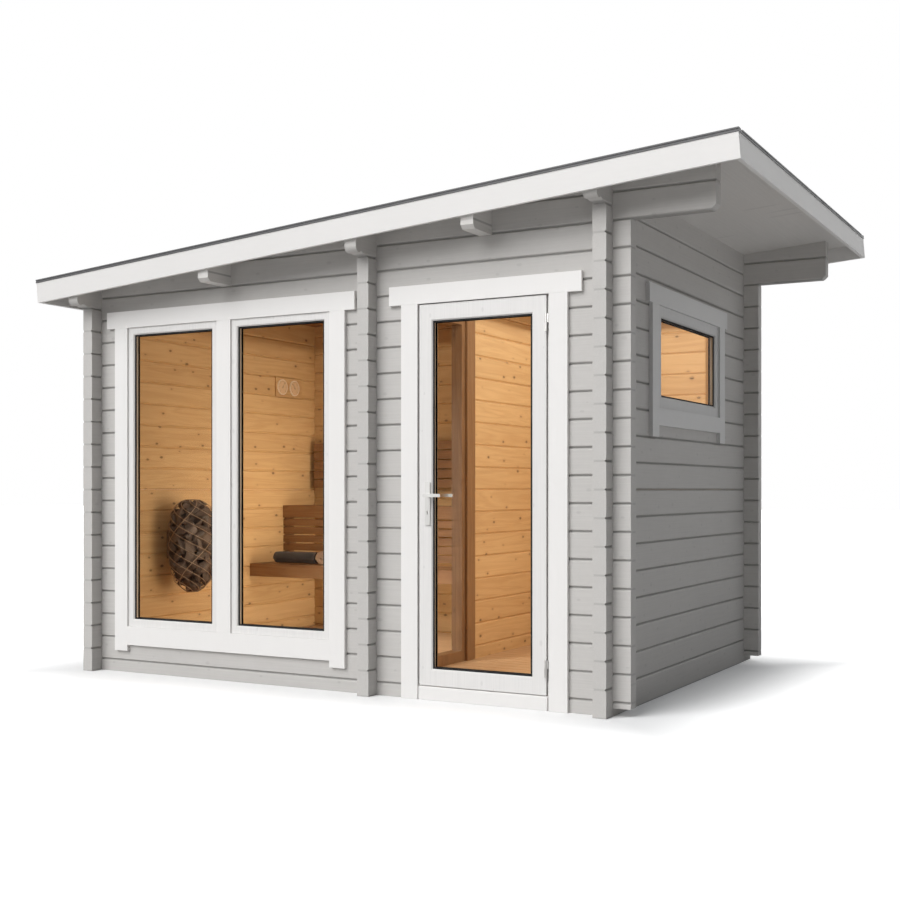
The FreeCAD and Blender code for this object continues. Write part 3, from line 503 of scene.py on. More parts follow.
@dataclass(frozen=True)
class LogWallFinish(Finish):
    """Timber that is painted outside four upright planes and bare inside them, with painted shade along the
    seams between logs on the paint and painted light along them on the bare wood.
    """

    paint: Paint
    timber: Timber
    inside: tuple[float, float, float, float]
    # Where the painted seam shade lies between logs, and how strong it is on the logs' sides and on their
    # ends.
    joint_half_width: float = 0.0075
    joint_core: float = 0.3
    seam_shade_strength: float = 0.38
    end_seam_shade_strength: float = 0.18
    end_facing: float = 0.7
    grain_share: float = 0.3
    grain_shade: float = 0.55
    grain_depth: float = 0.0003
    # The near-black colour of the painted seam shade, and the share and tone of the painted light in the bare
    # wood's seams.
    seam_shade_colour: Triple = (0.03, 0.03, 0.03)
    seam_painted_light_share: float = 1.15
    seam_painted_light_tone: float = 1.1

    def joint(self, recipe: Recipe) -> Socket:
        """Find the painted shade along the seam where two logs meet, fainter on the logs' ends.

        Args:
            recipe: the material being made.

        Returns:
            How dark the painted seam shade is, from 0 to 1.
        """
        _, across, _, _ = self.timber.coordinates(recipe)
        shifted = recipe.scaled(self.timber.offset, self.timber.board, across)
        from_middle = recipe.sum("PINGPONG", shifted, self.timber.board / 2)
        seam_shade = recipe.spread(from_middle, self.joint_half_width, self.joint_half_width * self.joint_core)
        normal = dict(zip("xyz", recipe.axes(recipe.facing())))[self.timber.grain.value]
        on_end = recipe.sum("GREATER_THAN", recipe.sum("ABSOLUTE", normal), self.end_facing)
        return recipe.times(seam_shade, recipe.scaled(on_end, self.end_seam_shade_strength - self.seam_shade_strength,
                                                self.seam_shade_strength))

    def pattern(self, recipe: Recipe) -> Look:
        """Draw paint or bare wood, with the grain of the timber beneath the paint, painted shade in the
        paint's seams and painted light in the bare wood's seams.

        Args:
            recipe: the material being made.

        Returns:
            The colour, the roughness and the relief's height.
        """
        bare, bare_rough, grain = self.timber.pattern(recipe)
        painted, painted_rough, _ = self.paint.pattern(recipe)
        painted = recipe.mix(recipe.times(grain, self.grain_share), painted,
                             toned(self.paint.shade, self.grain_shade))
        x, y, _ = recipe.axes(recipe.place())
        low_x, high_x, low_y, high_y = self.inside
        nearest = recipe.sum("SUBTRACT", x, low_x)
        for first, second in ((high_x, x), (y, low_y), (high_y, y)):
            nearest = recipe.sum("MINIMUM", nearest, recipe.sum("SUBTRACT", first, second))
        indoors = recipe.sum("GREATER_THAN", nearest, 0.0)
        if self.joint_half_width:
            seam_shade = self.joint(recipe)
            # Painted shade: the paint turns near black along the seams between logs.
            painted = recipe.mix(seam_shade, painted, self.seam_shade_colour)
            # Painted light: the bare wood turns paler along the seams, offsetting the shade of their grooves.
            bare = recipe.mix(recipe.times(seam_shade, self.seam_painted_light_share), bare,
                              toned(self.timber.light, self.seam_painted_light_tone))
        rough = recipe.scaled(indoors, bare_rough - painted_rough, painted_rough)
        return recipe.mix(indoors, painted, bare), rough, grain


@dataclass(frozen=True)
class Plain(Finish):
    """A smooth or softly pitted surface: metal, rubber, felt or plastic."""

    colour: Triple
    shade: Triple
    roughness: float
    metallic: float = 0.0
    grain_scale: float = 400.0
    grain_depth: float = 0.0001
    gloss_range: float = 0.1
    gloss_steps: Pair = (0.3, 0.7)
    broad_noise: Pair = (6.0, 2.0)
    contrast: float = 0.5

    def pattern(self, recipe: Recipe) -> Look:
        """Draw two tones in soft clouds, with a little change of gloss.

        Args:
            recipe: the material being made.

        Returns:
            The colour, the roughness and the relief's height.
        """
        fine = recipe.noise(recipe.place(), self.grain_scale)
        broad = recipe.noise(recipe.place(), *self.broad_noise)
        share = recipe.times(recipe.plus(fine, broad), self.contrast)
        rough = recipe.spread(broad, *self.gloss_steps, self.roughness * (1.0 - self.gloss_range),
                              min(1.0, self.roughness * (1.0 + self.gloss_range)))
        return recipe.mix(share, self.colour, self.shade), rough, fine

    def more(self) -> dict[str, float]:
        """How far it shines like metal."""
        return {"Metallic": self.metallic}


@dataclass(frozen=True)
class ClearGlass(Finish):
    """Window glass that lets lamp light through."""

    tint: Triple
    bending: float = 1.03

    def material(self) -> bpy.types.Material:
        """Make the glass, which casts no shadow of its own.

        Returns:
            The material.
        """
        recipe = Recipe(self.name)
        glass = recipe.surface(Base_Color=self.tint, Roughness=0.0, Transmission_Weight=1.0, IOR=self.bending)
        mixed = recipe.node("MixShader")
        recipe.feed(mixed.inputs[0], recipe.ray("Is Shadow Ray"))
        recipe.feed(mixed.inputs[1], glass.outputs[0])
        recipe.feed(mixed.inputs[2], recipe.node("BsdfTransparent").outputs[0])
        return recipe.finish(mixed.outputs[0])


@dataclass(frozen=True)
class TerryCloth(Finish):
    """Looped towelling with a soft nap."""

    colour: Triple
    shade: Triple
    loop_scale: float = 420.0
    nap_scale: float = 60.0
    contrast: float = 0.6
    loop_height: float = -0.8
    grain_depth: float = 0.0012
    roughness: float = 0.95
    sheen: float = 0.12

    def pattern(self, recipe: Recipe) -> Look:
        """Draw loops and nap in two tones.

        Args:
            recipe: the material being made.

        Returns:
            The colour, the roughness and the relief's height.
        """
        reach, _ = recipe.cells(recipe.place(), self.loop_scale)
        nap = recipe.noise(recipe.place(), self.nap_scale)
        share = recipe.times(recipe.plus(reach, nap), self.contrast, clamp=True)
        height = recipe.scaled(reach, self.loop_height, nap)
        return recipe.mix(share, self.colour, self.shade), self.roughness, height

    def more(self) -> dict[str, float]:
        """How softly its edges shine."""
        return {"Sheen_Weight": self.sheen}


@dataclass(frozen=True)
class HeaterStone(Finish):
    """Broken dark rock, each stone with its own tone."""

    colour: Triple
    shade: Triple
    speck_noise: Pair = (55.0, 5.0)
    stone_contrast: float = 0.75
    speck_contrast: float = 0.35
    grain_depth: float = 0.002
    roughness: float = 0.82

    def pattern(self, recipe: Recipe) -> Look:
        """Draw each stone in its own tone, with specks and pits.

        Args:
            recipe: the material being made.

        Returns:
            The colour, the roughness and the relief's height.
        """
        tone = recipe.node("Attribute")
        tone.attribute_name = STONE_TONE
        speck = recipe.noise(recipe.place(), *self.speck_noise)
        share = recipe.plus(recipe.times(tone.outputs["Fac"], self.stone_contrast),
                            recipe.times(speck, self.speck_contrast), clamp=True)
        return recipe.mix(share, self.colour, self.shade), self.roughness, speck


class Finishes:
    """Every finish of the cabin, made once."""

    def __init__(self) -> None:
        """Mix the finishes for the frame's own walls."""
        left, right, front, back = four_walls()
        inside = ((left[0].x + left[1].x) / 2, (right[0].x + right[1].x) / 2,
                  (front[0].y + front[1].y) / 2, (back[0].y + back[1].y) / 2)
        pine = (0.64, 0.42, 0.20), (0.49, 0.29, 0.122)
        white = Paint("white_paint", (0.85, 0.835, 0.82), (0.815, 0.80, 0.785), roughness=0.42,
                      grain_depth=0.00012, streak=(4.0, 4.0, 0.3))
        dull = Paint("side_window_paint", (0.68, 0.675, 0.67), (0.62, 0.615, 0.61), streak=(4.0, 0.4, 4.0))
        grey = Paint("grey_log_paint", (0.62, 0.60, 0.58), (0.54, 0.525, 0.505), roughness=0.55)
        eaves = Paint("eaves_paint", (0.76, 0.735, 0.71), (0.69, 0.67, 0.645), roughness=0.55)
        gable_pine = Timber("gable_pine", *pine, Grain.ALONG_X, offset=Course.HALF.value)
        side_pine = Timber("side_pine", *pine, Grain.ALONG_Y, offset=Course.WHOLE.value)
        joinery_pine = Timber("joinery_pine", *pine, Grain.UPRIGHT, board=BEYOND, knots=0.0)
        roof_pine = Timber("roof_pine", (0.42, 0.21, 0.085), (0.25, 0.11, 0.04), Grain.ALONG_Y, board=0.12)
        pane, side_pane = node_box("front_window_glass")[1].y, node_box("side_window_glass")[0].x
        door_pane = node_box("door_glass")[1].y
        floor_front, pitch = floor_pitch()
        self.made: dict[str, bpy.types.Material] = {finish.name: finish.material() for finish in (
            white, dull,
            LogWallFinish("gable_logs", grey, gable_pine, inside),
            LogWallFinish("side_logs", grey, side_pine, inside),
            LogWallFinish("roof_boards", eaves, roof_pine, inside),
            *(LogWallFinish(name, paint, joinery_pine, (-BEYOND, side_pane, plane, BEYOND),
                            joint_half_width=0.0)
              for name, paint, plane in (("window_timber", white, pane), ("side_window_timber", dull, pane),
                                         ("door_timber", white, door_pane))),
            Paint("white_fascia_paint", (0.80, 0.785, 0.77), (0.74, 0.725, 0.71), streak=(0.4, 0.4, 3.0)),
            Timber("bench_wood", (0.33, 0.17, 0.07), (0.185, 0.083, 0.03), Grain.ALONG_X, board=0.083,
                   knots=0.4, roughness=0.55),
            Timber("doorway_wood", (0.27, 0.145, 0.062), (0.15, 0.07, 0.027), Grain.UPRIGHT, board=0.09,
                   knots=0.3, roughness=0.5),
            Timber("floor_wood", (0.56, 0.36, 0.20), (0.44, 0.265, 0.135), Grain.LEVEL_ALONG_X,
                   board=pitch, offset=-floor_front / pitch, knots=0.3, roughness=0.4),
            Timber("gauge_board_wood", pine[0], (0.42, 0.23, 0.09), Grain.ALONG_Y, knots=0.0),
            ClearGlass("clear_glass", (0.985, 0.99, 0.98)),
            Plain("roofing_felt", (0.062, 0.062, 0.067), (0.076, 0.076, 0.081), 0.9, grain_scale=700.0,
                  grain_depth=0.0008, gloss_range=0.01),
            Plain("dark_trim", (0.075, 0.075, 0.078), (0.11, 0.11, 0.113), 0.45),
            Plain("satin_steel", (0.74, 0.73, 0.71), (0.64, 0.63, 0.61), 0.3, metallic=1.0,
                  grain_scale=900.0, grain_depth=0.00002),
            Plain("cage_wire", (0.40, 0.27, 0.165), (0.28, 0.185, 0.115), 0.4, metallic=0.4),
            Plain("black_rubber", (0.006, 0.006, 0.006), (0.012, 0.012, 0.012), 0.9),
            # The spacers' warm tan is a painted reflection of the pine inside, on the spacer strip itself.
            Plain("spacer_with_painted_reflection", (0.90, 0.74, 0.56), (0.80, 0.65, 0.49), 0.5, metallic=0.1),
            Plain("gauge_dial", (0.68, 0.47, 0.28), (0.60, 0.41, 0.24), 0.5),
            Plain("gauge_ink", (0.05, 0.04, 0.035), (0.07, 0.06, 0.05), 0.6),
            Plain("gauge_rim", (0.92, 0.80, 0.64), (0.82, 0.71, 0.56), 0.35, metallic=0.1),
            TerryCloth("dark_towelling", (0.028, 0.022, 0.02), (0.05, 0.042, 0.038)),
            TerryCloth("beige_towelling", (0.27, 0.165, 0.095), (0.38, 0.25, 0.155)),
            HeaterStone("heater_rock", (0.20, 0.14, 0.10), (0.07, 0.05, 0.038)))}

    def __getitem__(self, name: str) -> bpy.types.Material:
        """The material with that name."""
        return self.made[name]


@dataclass
class Assembly:
    """A sub-assembly: CAD nodes that it dresses, and pieces that it builds."""

    finishes: Finishes
    dressing: ClassVar[Dressing] = {}

    def dress(self) -> None:
        """Give each CAD node of the assembly its finish."""
        for finish, nodes in self.dressing.items():
            for slot in (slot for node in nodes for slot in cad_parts[node].material_slots):
                slot.material = self.finishes[finish]
            log.info("dressed in %s: %s", finish, ", ".join(nodes))

    def build(self) -> None:
        """Build the pieces that the CAD nodes don't show."""

    def piece(self, name: str, mesh: "MeshMaker", finish: str, slot: str, body: str = "cabin",
              smooth: bool = False) -> Shape:
        """Turn a finished mesh into a piece that rides on a body.

        Args:
            name: the piece's name.
            mesh: its vertices and faces.
            finish: the finish that it wears.
            slot: the record's material slot for it; not used.
            body: the body that carries it.
            smooth: whether its faces are shaded as one round surface.

        Returns:
            The new object.
        """
        data = bpy.data.meshes.new(name)
        data.from_pydata([tuple(v) for v in mesh.points], [], mesh.faces)
        data.update()
        if smooth:
            data.polygons.foreach_set("use_smooth", [True] * len(data.polygons))
        if mesh.tones:
            tones = data.attributes.new(STONE_TONE, "FLOAT", "POINT")
            tones.data.foreach_set("value", mesh.tones)
        data.materials.append(self.finishes[finish])
        shape = placed(name, data)
        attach(shape, body)
        log.info("built %s with %d faces", name, len(data.polygons))
        return shape


@dataclass
class MeshMaker:
    """Vertices and faces of a piece as it grows."""

    points: list[Vector] = field(default_factory=list)
    faces: list[tuple[int, ...]] = field(default_factory=list)
    tones: list[float] = field(default_factory=list)

    def block(self, low: Vector, high: Vector, chamfer: float) -> None:
        """Add a box whose upper edges are chamfered.

        Args:
            low: its lowest corner.
            high: its highest corner.
            chamfer: the chamfer's width.
        """
        self.stack([[Vector((low.x + i, low.y + i, z)), Vector((high.x - i, low.y + i, z)),
                     Vector((high.x - i, high.y - i, z)), Vector((low.x + i, high.y - i, z))]
                    for z, i in ((low.z, 0.0), (high.z - chamfer, 0.0), (high.z, chamfer))])

    def stack(self, rings: list[list[Vector]], closed: bool = True) -> None:
        """Skin a row of rings that have as many points each.

        Args:
            rings: the rings in order, each a list of points.
            closed: whether the first and last rings are filled.
        """
        start = len(self.points)
        count = len(rings[0])
        for ring in rings:
            self.points.extend(ring)
        for level in range(len(rings) - 1):
            for i in range(count):
                j = (i + 1) % count
                a = start + level * count
                self.faces.append((a + i, a + j, a + count + j, a + count + i))
        if closed:
            self.faces.append(tuple(start + i for i in reversed(range(count))))
            self.faces.append(tuple(start + (len(rings) - 1) * count + i for i in range(count)))

    def tube(self, path: list[Vector], radius: float, sides: int = 6, looped: bool = False) -> None:
        """A round wire along a path.

        Args:
            path: the wire's centre line.
            radius: the wire's radius.
            sides: how many sides its section has.
            looped: whether the wire's end meets its start.
        """
        rings = []
        normal = None
        last = len(path) - 1
        for i, point in enumerate(path):
            before = path[i - 1] if i > 0 or looped else point
            after = path[(i + 1) % len(path)] if i < last or looped else point
            tangent = (after - before).normalized()
            if normal is None:
                normal = tangent.orthogonal().normalized()
            normal = (normal - tangent * normal.dot(tangent)).normalized()
            side = tangent.cross(normal)
            rings.append([point + radius * (math.cos(a) * normal + math.sin(a) * side)
                          for a in (math.tau * k / sides for k in range(sides))])
        self.stack(rings, closed=not looped)
        if looped:
            start = len(self.points) - len(rings) * sides
            end = len(self.points) - sides
            for k in range(sides):
                n = (k + 1) % sides
                self.faces.append((end + k, end + n, start + n, start + k))

    def disc(self, centre: Vector, depth: float, radius: float, profile: Profile, sides: int = 48) -> None:
        """A form turned round a level axis that points along X.

        Args:
            centre: the point on the axis that heights are measured from.
            depth: the height that 1 stands for in the profile.
            radius: the radius that 1 stands for in the profile.
            profile: pairs of height and radius in order.
            sides: how many sides the turned form has.
        """
        out = Vector((1.0, 0.0, 0.0))
        across = out.orthogonal().normalized()
        upward = out.cross(across)
        self.stack([[centre + out * depth * h + radius * r * (math.cos(a) * across + math.sin(a) * upward)
                     for a in (math.tau * k / sides for k in range(sides))] for h, r in profile])


def islands(node: str) -> list[Corners]:
    """The boxes of a CAD node's separate solids.

    Args:
        node: the node's name.

    Returns:
        One pair of corners for each solid.
    """
    grown = bmesh.new()
    grown.from_mesh(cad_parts[node].data)
    bmesh.ops.remove_doubles(grown, verts=grown.verts, dist=WELD_DISTANCE)
    waiting = set(grown.verts)
    boxes = []
    while waiting:
        group, queue = [], [waiting.pop()]
        while queue:
            vertex = queue.pop()
            group.append(vertex.co.copy())
            for edge in vertex.link_edges:
                other = edge.other_vert(vertex)
                if other in waiting:
                    waiting.remove(other)
                    queue.append(other)
        boxes.append((Vector(min(p[i] for p in group) for i in range(3)),
                      Vector(max(p[i] for p in group) for i in range(3))))
    grown.free()
    return sorted(boxes, key=lambda pair: tuple(pair[0]))


@dataclass
class LogWalls(Assembly):
    """The log walls, the partition and the profiled top logs."""

    dressing: ClassVar[Dressing] = {
        "gable_logs": ("front_wall_below_window", "front_wall_left_pier", "front_wall_middle_pier",
                       "front_wall_right_pier", "front_wall_head", "back_wall_lower_courses",
                       "back_wall_head"),
        "side_logs": ("left_wall", "right_wall_below_window", "right_wall_front_pier",
                      "right_wall_back_pier", "right_wall_head", "partition_front_pier",
                      "partition_back_part", "partition_head", "profiled_top_logs")}


@dataclass
class Roof(Assembly):
    """The purlins, deck, covering, fascias and edge trim."""

    dressing: ClassVar[Dressing] = {
        "roof_boards": ("roof_purlins", "roof_deck"), "roofing_felt": ("roof_covering",),
        "white_fascia_paint": ("roof_fascia",), "dark_trim": ("roof_edge_trim",)}


@dataclass
class Glazing(Assembly):
    """Windows: frames, sashes, casings and sealed glass units with their rubber gaskets."""

    dressing: ClassVar[Dressing] = {
        "window_timber": ("front_window_frame", "front_window_sash"), "white_paint": ("front_window_casing",),
        "side_window_timber": ("side_window_frame", "side_window_sash"),
        "side_window_paint": ("side_window_casing",),
        "clear_glass": ("front_window_glass", "side_window_glass", "door_glass"),
        "spacer_with_painted_reflection": ("window_glass_spacers", "door_glass_spacer")}
    bite: float = 0.010
    gasket_width: float = 0.009
    gasket_depth: float = 0.004
    tuck: float = 0.001
    pane: float = 0.0043

    def gasket(self, name: str, unit: Corners, body: str) -> None:
        """The rubber strips before and behind one glass unit.

        Args:
            name: the piece's name.
            unit: the spacer's corners, which give the unit's place.
            body: the body that carries it.
        """
        low, high = unit
        flat = 0 if high.x - low.x < high.y - low.y else 1
        wide = 1 - flat
        mesh = MeshMaker()
        for near, away in ((low[flat] - self.pane, -1), (high[flat] + self.pane, 1)):
            levels = (near, near + away * self.gasket_depth)
            rings = []
            for inset, order in ((self.bite - self.tuck, levels),
                                 (self.bite + self.gasket_width, reversed(levels))):
                left, right, foot, top = (low[wide] + inset, high[wide] - inset, low.z + inset,
                                          high.z - inset)
                rings += [[Vector((level, a, z) if flat == 0 else (a, level, z))
                           for a, z in ((left, foot), (right, foot), (right, top), (left, top))]
                          for level in order]
            mesh.stack(rings + [rings[0]], closed=False)
        self.piece(name, mesh, "black_rubber", "glass_spacer", body)

    def build(self) -> None:
        """Fit the gaskets round every glass unit."""
        for i, unit in enumerate(islands("window_glass_spacers")):
            self.gasket(f"window_gasket_{i + 1}", unit, "cabin")
        self.gasket("door_gasket", islands("door_glass_spacer")[0], "door")


@dataclass
class EntranceDoor(Assembly):
    """The outside door with its frame, hinges and handles."""

    dressing: ClassVar[Dressing] = {
        "door_timber": ("door_frame", "door_leaf"), "white_paint": ("door_threshold", "door_casing"),
        "satin_steel": ("hinge_frame_halves", "hinge_leaf_halves", "door_handle_plates", "door_levers")}


@dataclass
class Joinery(Assembly):
    """The inner doorway, the benches, and the fixings of the heater and the gauges."""

    dressing: ClassVar[Dressing] = {
        "doorway_wood": ("inner_doorway_lining", "inner_doorway_casing"),
        "bench_wood": ("lower_bench", "upper_bench", "bench_backrest"),
        "cage_wire": ("heater_bracket",), "gauge_board_wood": ("gauge_board",)}


@dataclass
class FloorBoards(Assembly):
    """Planed boards in both rooms, in place of the plain floor."""

    joint: float = 0.003
    arris: float = 0.0025

    def build(self) -> None:
        """Lay the boards from front to back in each room."""
        _, pitch = floor_pitch()
        for name, (low, high) in zip(("sauna_floor_boards", "entry_floor_boards"), islands("floor")):
            mesh = MeshMaker()
            for i in range(round((high.y - low.y) / pitch)):
                start = low.y + i * pitch
                mesh.block(Vector((low.x, start, low.z)),
                           Vector((high.x, start + pitch - self.joint, high.z)), self.arris)
            piece = self.piece(name, mesh, "floor_wood", "heat_treated_wood")
            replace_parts(piece, "floor")


@dataclass
class HeaterShape:
    """The outline of the heater's cage, read from its CAD solid."""

    centre: Vector
    radii: list[Pair]

    @classmethod
    def read(cls) -> "HeaterShape":
        """Measure the cage's radius at each of its levels.

        Returns:
            The cage's outline.
        """
        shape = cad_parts["heater_stones"]
        low, high = node_box("heater_stones")
        centre = (low + high) / 2
        widest: dict[float, float] = {}
        for vertex in shape.data.vertices:
            level = round(vertex.co.z, 3)
            reach = math.hypot(vertex.co.x - centre.x, vertex.co.y - centre.y)
            widest[level] = max(widest.get(level, 0.0), reach)
        return cls(centre, sorted(widest.items()))

    def radius(self, z: float) -> float:
        """Find how wide the cage is.

        Args:
            z: the height to look at.

        Returns:
            The radius there.
        """
        levels = self.radii
        if z <= levels[0][0]:
            return levels[0][1]
        for (z0, r0), (z1, r1) in zip(levels, levels[1:]):
            if z <= z1:
                return r0 + (r1 - r0) * (z - z0) / (z1 - z0)
        return levels[-1][1]

    def ends(self) -> Pair:
        """The heights of the cage's foot and top."""
        return self.radii[0][0], self.radii[-1][0]

    def point(self, angle: float, reach: float, z: float) -> Vector:
        """The point at an angle round the cage's axis, and at a distance from it."""
        return Vector((self.centre.x + reach * math.cos(angle), self.centre.y + reach * math.sin(angle), z))


@dataclass
class StoneHeater(Assembly):
    """Broken stones held by a cage of crossed wires.

    A stone's lengths, widths and heights are shares of the stone size. The layers are depths inside the
    cage. The wires are given as how many there are and how many half turns they make.
    """

    stone_size: float = 0.056
    lengths: Pair = (0.85, 1.35)
    widths: Pair = (0.6, 0.85)
    heights: Pair = (0.5, 0.75)
    corners: int = 10
    blunting: float = 0.05
    rows: int = 11
    layers: Pair = (0.034, 0.09)
    smallest_ring: float = 0.02
    fewest_stones: int = 5
    stone_pitch: float = 1.2
    scatter: float = 0.2
    lift: float = 0.012
    end_clearance: float = 0.004
    side_fit: Pair = (0.985, 0.006)
    pile_seed: int = 7
    wire: float = 0.0027
    wires: tuple[tuple[int, float], ...] = ((8, -2.4), (3, 1.2))
    wire_steps: int = 56
    wire_inset: float = 1.2
    cage_fit: float = 0.9877
    ring_steps: int = 36
    ring_thickness: float = 1.3

    def stone(self, mesh: MeshMaker, shape: HeaterShape, middle: Vector, draw: random.Random) -> None:
        """Add one broken stone, kept inside the cage.

        Args:
            mesh: the mesh of all the stones.
            shape: the cage's outline.
            middle: the stone's centre.
            draw: the source of random numbers.
        """
        size = self.stone_size * draw.uniform(*self.lengths)
        reach = Vector((size, size * draw.uniform(*self.widths), size * draw.uniform(*self.heights)))
        turn = Matrix.Identity(3)
        for axis in "ZXY":
            turn = turn @ Matrix.Rotation(draw.uniform(0, math.tau), 3, axis)
        rock = bmesh.new()
        for _ in range(self.corners):
            way = Vector(draw.gauss(0, 1) for _ in range(3)).normalized()
            rock.verts.new(middle + turn @ Vector(way[i] * reach[i] for i in range(3)))
        hull = bmesh.ops.convex_hull(rock, input=rock.verts)
        loose = [e for e in hull["geom_interior"] if isinstance(e, bmesh.types.BMVert)]
        bmesh.ops.delete(rock, geom=loose, context="VERTS")
        bmesh.ops.bevel(rock, geom=rock.edges[:], offset=size * self.blunting, segments=1,
                        affect="EDGES")
        rock.verts.index_update()
        start = len(mesh.points)
        tone = draw.random()
        for vertex in rock.verts:
            mesh.points.append(self.held(shape, vertex.co))
            mesh.tones.append(tone)
        for face in rock.faces:
            mesh.faces.append(tuple(start + v.index for v in face.verts))
        rock.free()

    def held(self, shape: HeaterShape, point: Vector) -> Vector:
        """Draw a point in where it would stand out of the cage.

        Args:
            shape: the cage's outline.
            point: the point.

        Returns:
            The point, inside the cage.
        """
        low, high = shape.ends()
        z = min(max(point.z, low + self.end_clearance), high - self.end_clearance)
        out = Vector((point.x - shape.centre.x, point.y - shape.centre.y))
        fit, clearance = self.side_fit
        limit = shape.radius(z) * fit - clearance
        if out.length > limit:
            out *= limit / out.length
        return Vector((shape.centre.x + out.x, shape.centre.y + out.y, z))

    def stones(self, shape: HeaterShape) -> Shape:
        """Pile the stones against the inside of the cage.

        Args:
            shape: the cage's outline.

        Returns:
            The stones as one piece.
        """
        draw = random.Random(self.pile_seed)
        mesh = MeshMaker()
        low, high = shape.ends()
        for row in range(self.rows):
            z = low + (row + 0.5) * (high - low) / self.rows
            for ring in (shape.radius(z) - layer for layer in self.layers):
                if ring < self.smallest_ring:
                    continue
                count = max(self.fewest_stones,
                            round(math.tau * ring / (self.stone_size * self.stone_pitch)))
                for k in range(count):
                    stagger = k + 0.5 * (row % 2) + draw.uniform(-self.scatter, self.scatter)
                    angle = math.tau * stagger / count
                    height = z + draw.uniform(-self.lift, self.lift)
                    self.stone(mesh, shape, shape.point(angle, ring, height), draw)
        return self.piece("heater_rocks", mesh, "heater_rock", "heater_stone")

    def cage(self, shape: HeaterShape) -> Shape:
        """Bend the crossed wires round the stones, with a ring at the top and the foot.

        Args:
            shape: the cage's outline.

        Returns:
            The cage.
        """
        mesh = MeshMaker()
        low, high = shape.ends()
        low += 2 * self.wire
        high -= 2 * self.wire
        steps = self.wire_steps

        def on_cage(angle: float, share: float) -> Vector:
            """The point at an angle on the cage, and at a share of its height."""
            z = low + (high - low) * share
            return shape.point(angle, shape.radius(z) * self.cage_fit - self.wire * self.wire_inset, z)

        for count, turn in self.wires:
            for k in range(count):
                begin = math.tau * k / count
                mesh.tube([on_cage(begin + turn * math.pi * (i / steps), i / steps)
                           for i in range(steps + 1)], self.wire)
        for share in (0.0, 1.0):
            mesh.tube([on_cage(math.tau * i / self.ring_steps, share) for i in range(self.ring_steps)],
                      self.wire * self.ring_thickness, looped=True)
        return self.piece("heater_cage", mesh, "cage_wire", "dark_steel", smooth=True)

    def build(self) -> None:
        """Fill the cage with stones."""
        shape = HeaterShape.read()
        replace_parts(self.stones(shape), "heater_stones")
        self.cage(shape)


@dataclass
class Gauges(Assembly):
    """Two round dials with scales and needles.

    A profile is pairs of height and radius, as shares of the gauge's depth and radius. A tick or needle is
    its start and end, as shares of the radius, and its width in metres.
    """

    ticks: int = 24
    long_every: int = 4
    sweep_deg: float = 270.0
    readings: Pair = (0.62, 0.35)
    rim: Profile = ((0.0, 1.0), (0.8, 1.0), (1.0, 0.96), (1.0, 0.93), (0.8, 0.91), (0.75, 0.5))
    face: Profile = ((0.7, 0.9), (0.83, 0.9))
    hub: Profile = ((0.83, 0.07), (0.97, 0.07))
    hub_sides: int = 16
    long_tick: Triple = (0.62, 0.82, 0.0016)
    short_tick: Triple = (0.72, 0.82, 0.0008)
    tick_height: float = 0.86
    needle: Triple = (-0.18, 0.74, 0.0022)
    needle_height: float = 0.93
    ink: float = 0.0008

    def dial(self, name: str, low: Vector, high: Vector, reading: float) -> list[Shape]:
        """Build one gauge: rim, face, scale marks and needle.

        Args:
            name: the start of the pieces' names.
            low: the CAD gauge's lowest corner.
            high: its highest corner.
            reading: how far round the scale the needle stands, from 0 to 1.

        Returns:
            The pieces that stand for the CAD gauge.
        """
        centre = Vector((low.x, (low.y + high.y) / 2, (low.z + high.z) / 2))
        radius, depth = (high.z - low.z) / 2, high.x - low.x
        rim, face, marks = MeshMaker(), MeshMaker(), MeshMaker()
        rim.disc(centre, depth, radius, self.rim)
        face.disc(centre, depth, radius, self.face)
        for i in range(self.ticks + 1):
            tick = self.short_tick if i % self.long_every else self.long_tick
            self.stroke(marks, centre, radius, i / self.ticks, tick, depth * self.tick_height)
        self.stroke(marks, centre, radius, reading, self.needle, depth * self.needle_height)
        marks.disc(centre, depth, radius, self.hub, self.hub_sides)
        return [self.piece(name + "_rim", rim, "gauge_rim", "gauge_face"),
                self.piece(name + "_face", face, "gauge_dial", "gauge_face"),
                self.piece(name + "_marks", marks, "gauge_ink", "gauge_face")]

    def stroke(self, mesh: MeshMaker, centre: Vector, radius: float, share: float, bar: Triple,
               height: float) -> None:
        """A thin bar on the dial, in one reading's direction.

        Args:
            mesh: the marks of the dial.
            centre: the dial's centre on the wall.
            radius: the gauge's radius.
            share: how far round the scale the bar lies, from 0 to 1.
            bar: the tick or needle.
            height: how far the bar's outer face stands from the wall.
        """
        start, end, width = bar
        angle = math.radians(90 + self.sweep_deg / 2 - self.sweep_deg * share)
        way = Vector((0.0, math.cos(angle), math.sin(angle)))
        side = Vector((0.0, -way.z, way.y)) * width / 2
        lift = Vector((self.ink, 0.0, 0.0))
        foot = centre + Vector((height, 0.0, 0.0)) - lift
        first, last = foot + way * radius * start, foot + way * radius * end
        ring = [first - side, last - side, last + side, first + side]
        mesh.stack([ring, [p + lift for p in ring]])

    def build(self) -> None:
        """Build both gauges over their CAD discs."""
        for i, (low, high) in enumerate(islands("gauges")):
            for piece in self.dial(f"gauge_{i + 1}", low, high, self.readings[i]):
                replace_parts(piece, "gauges")


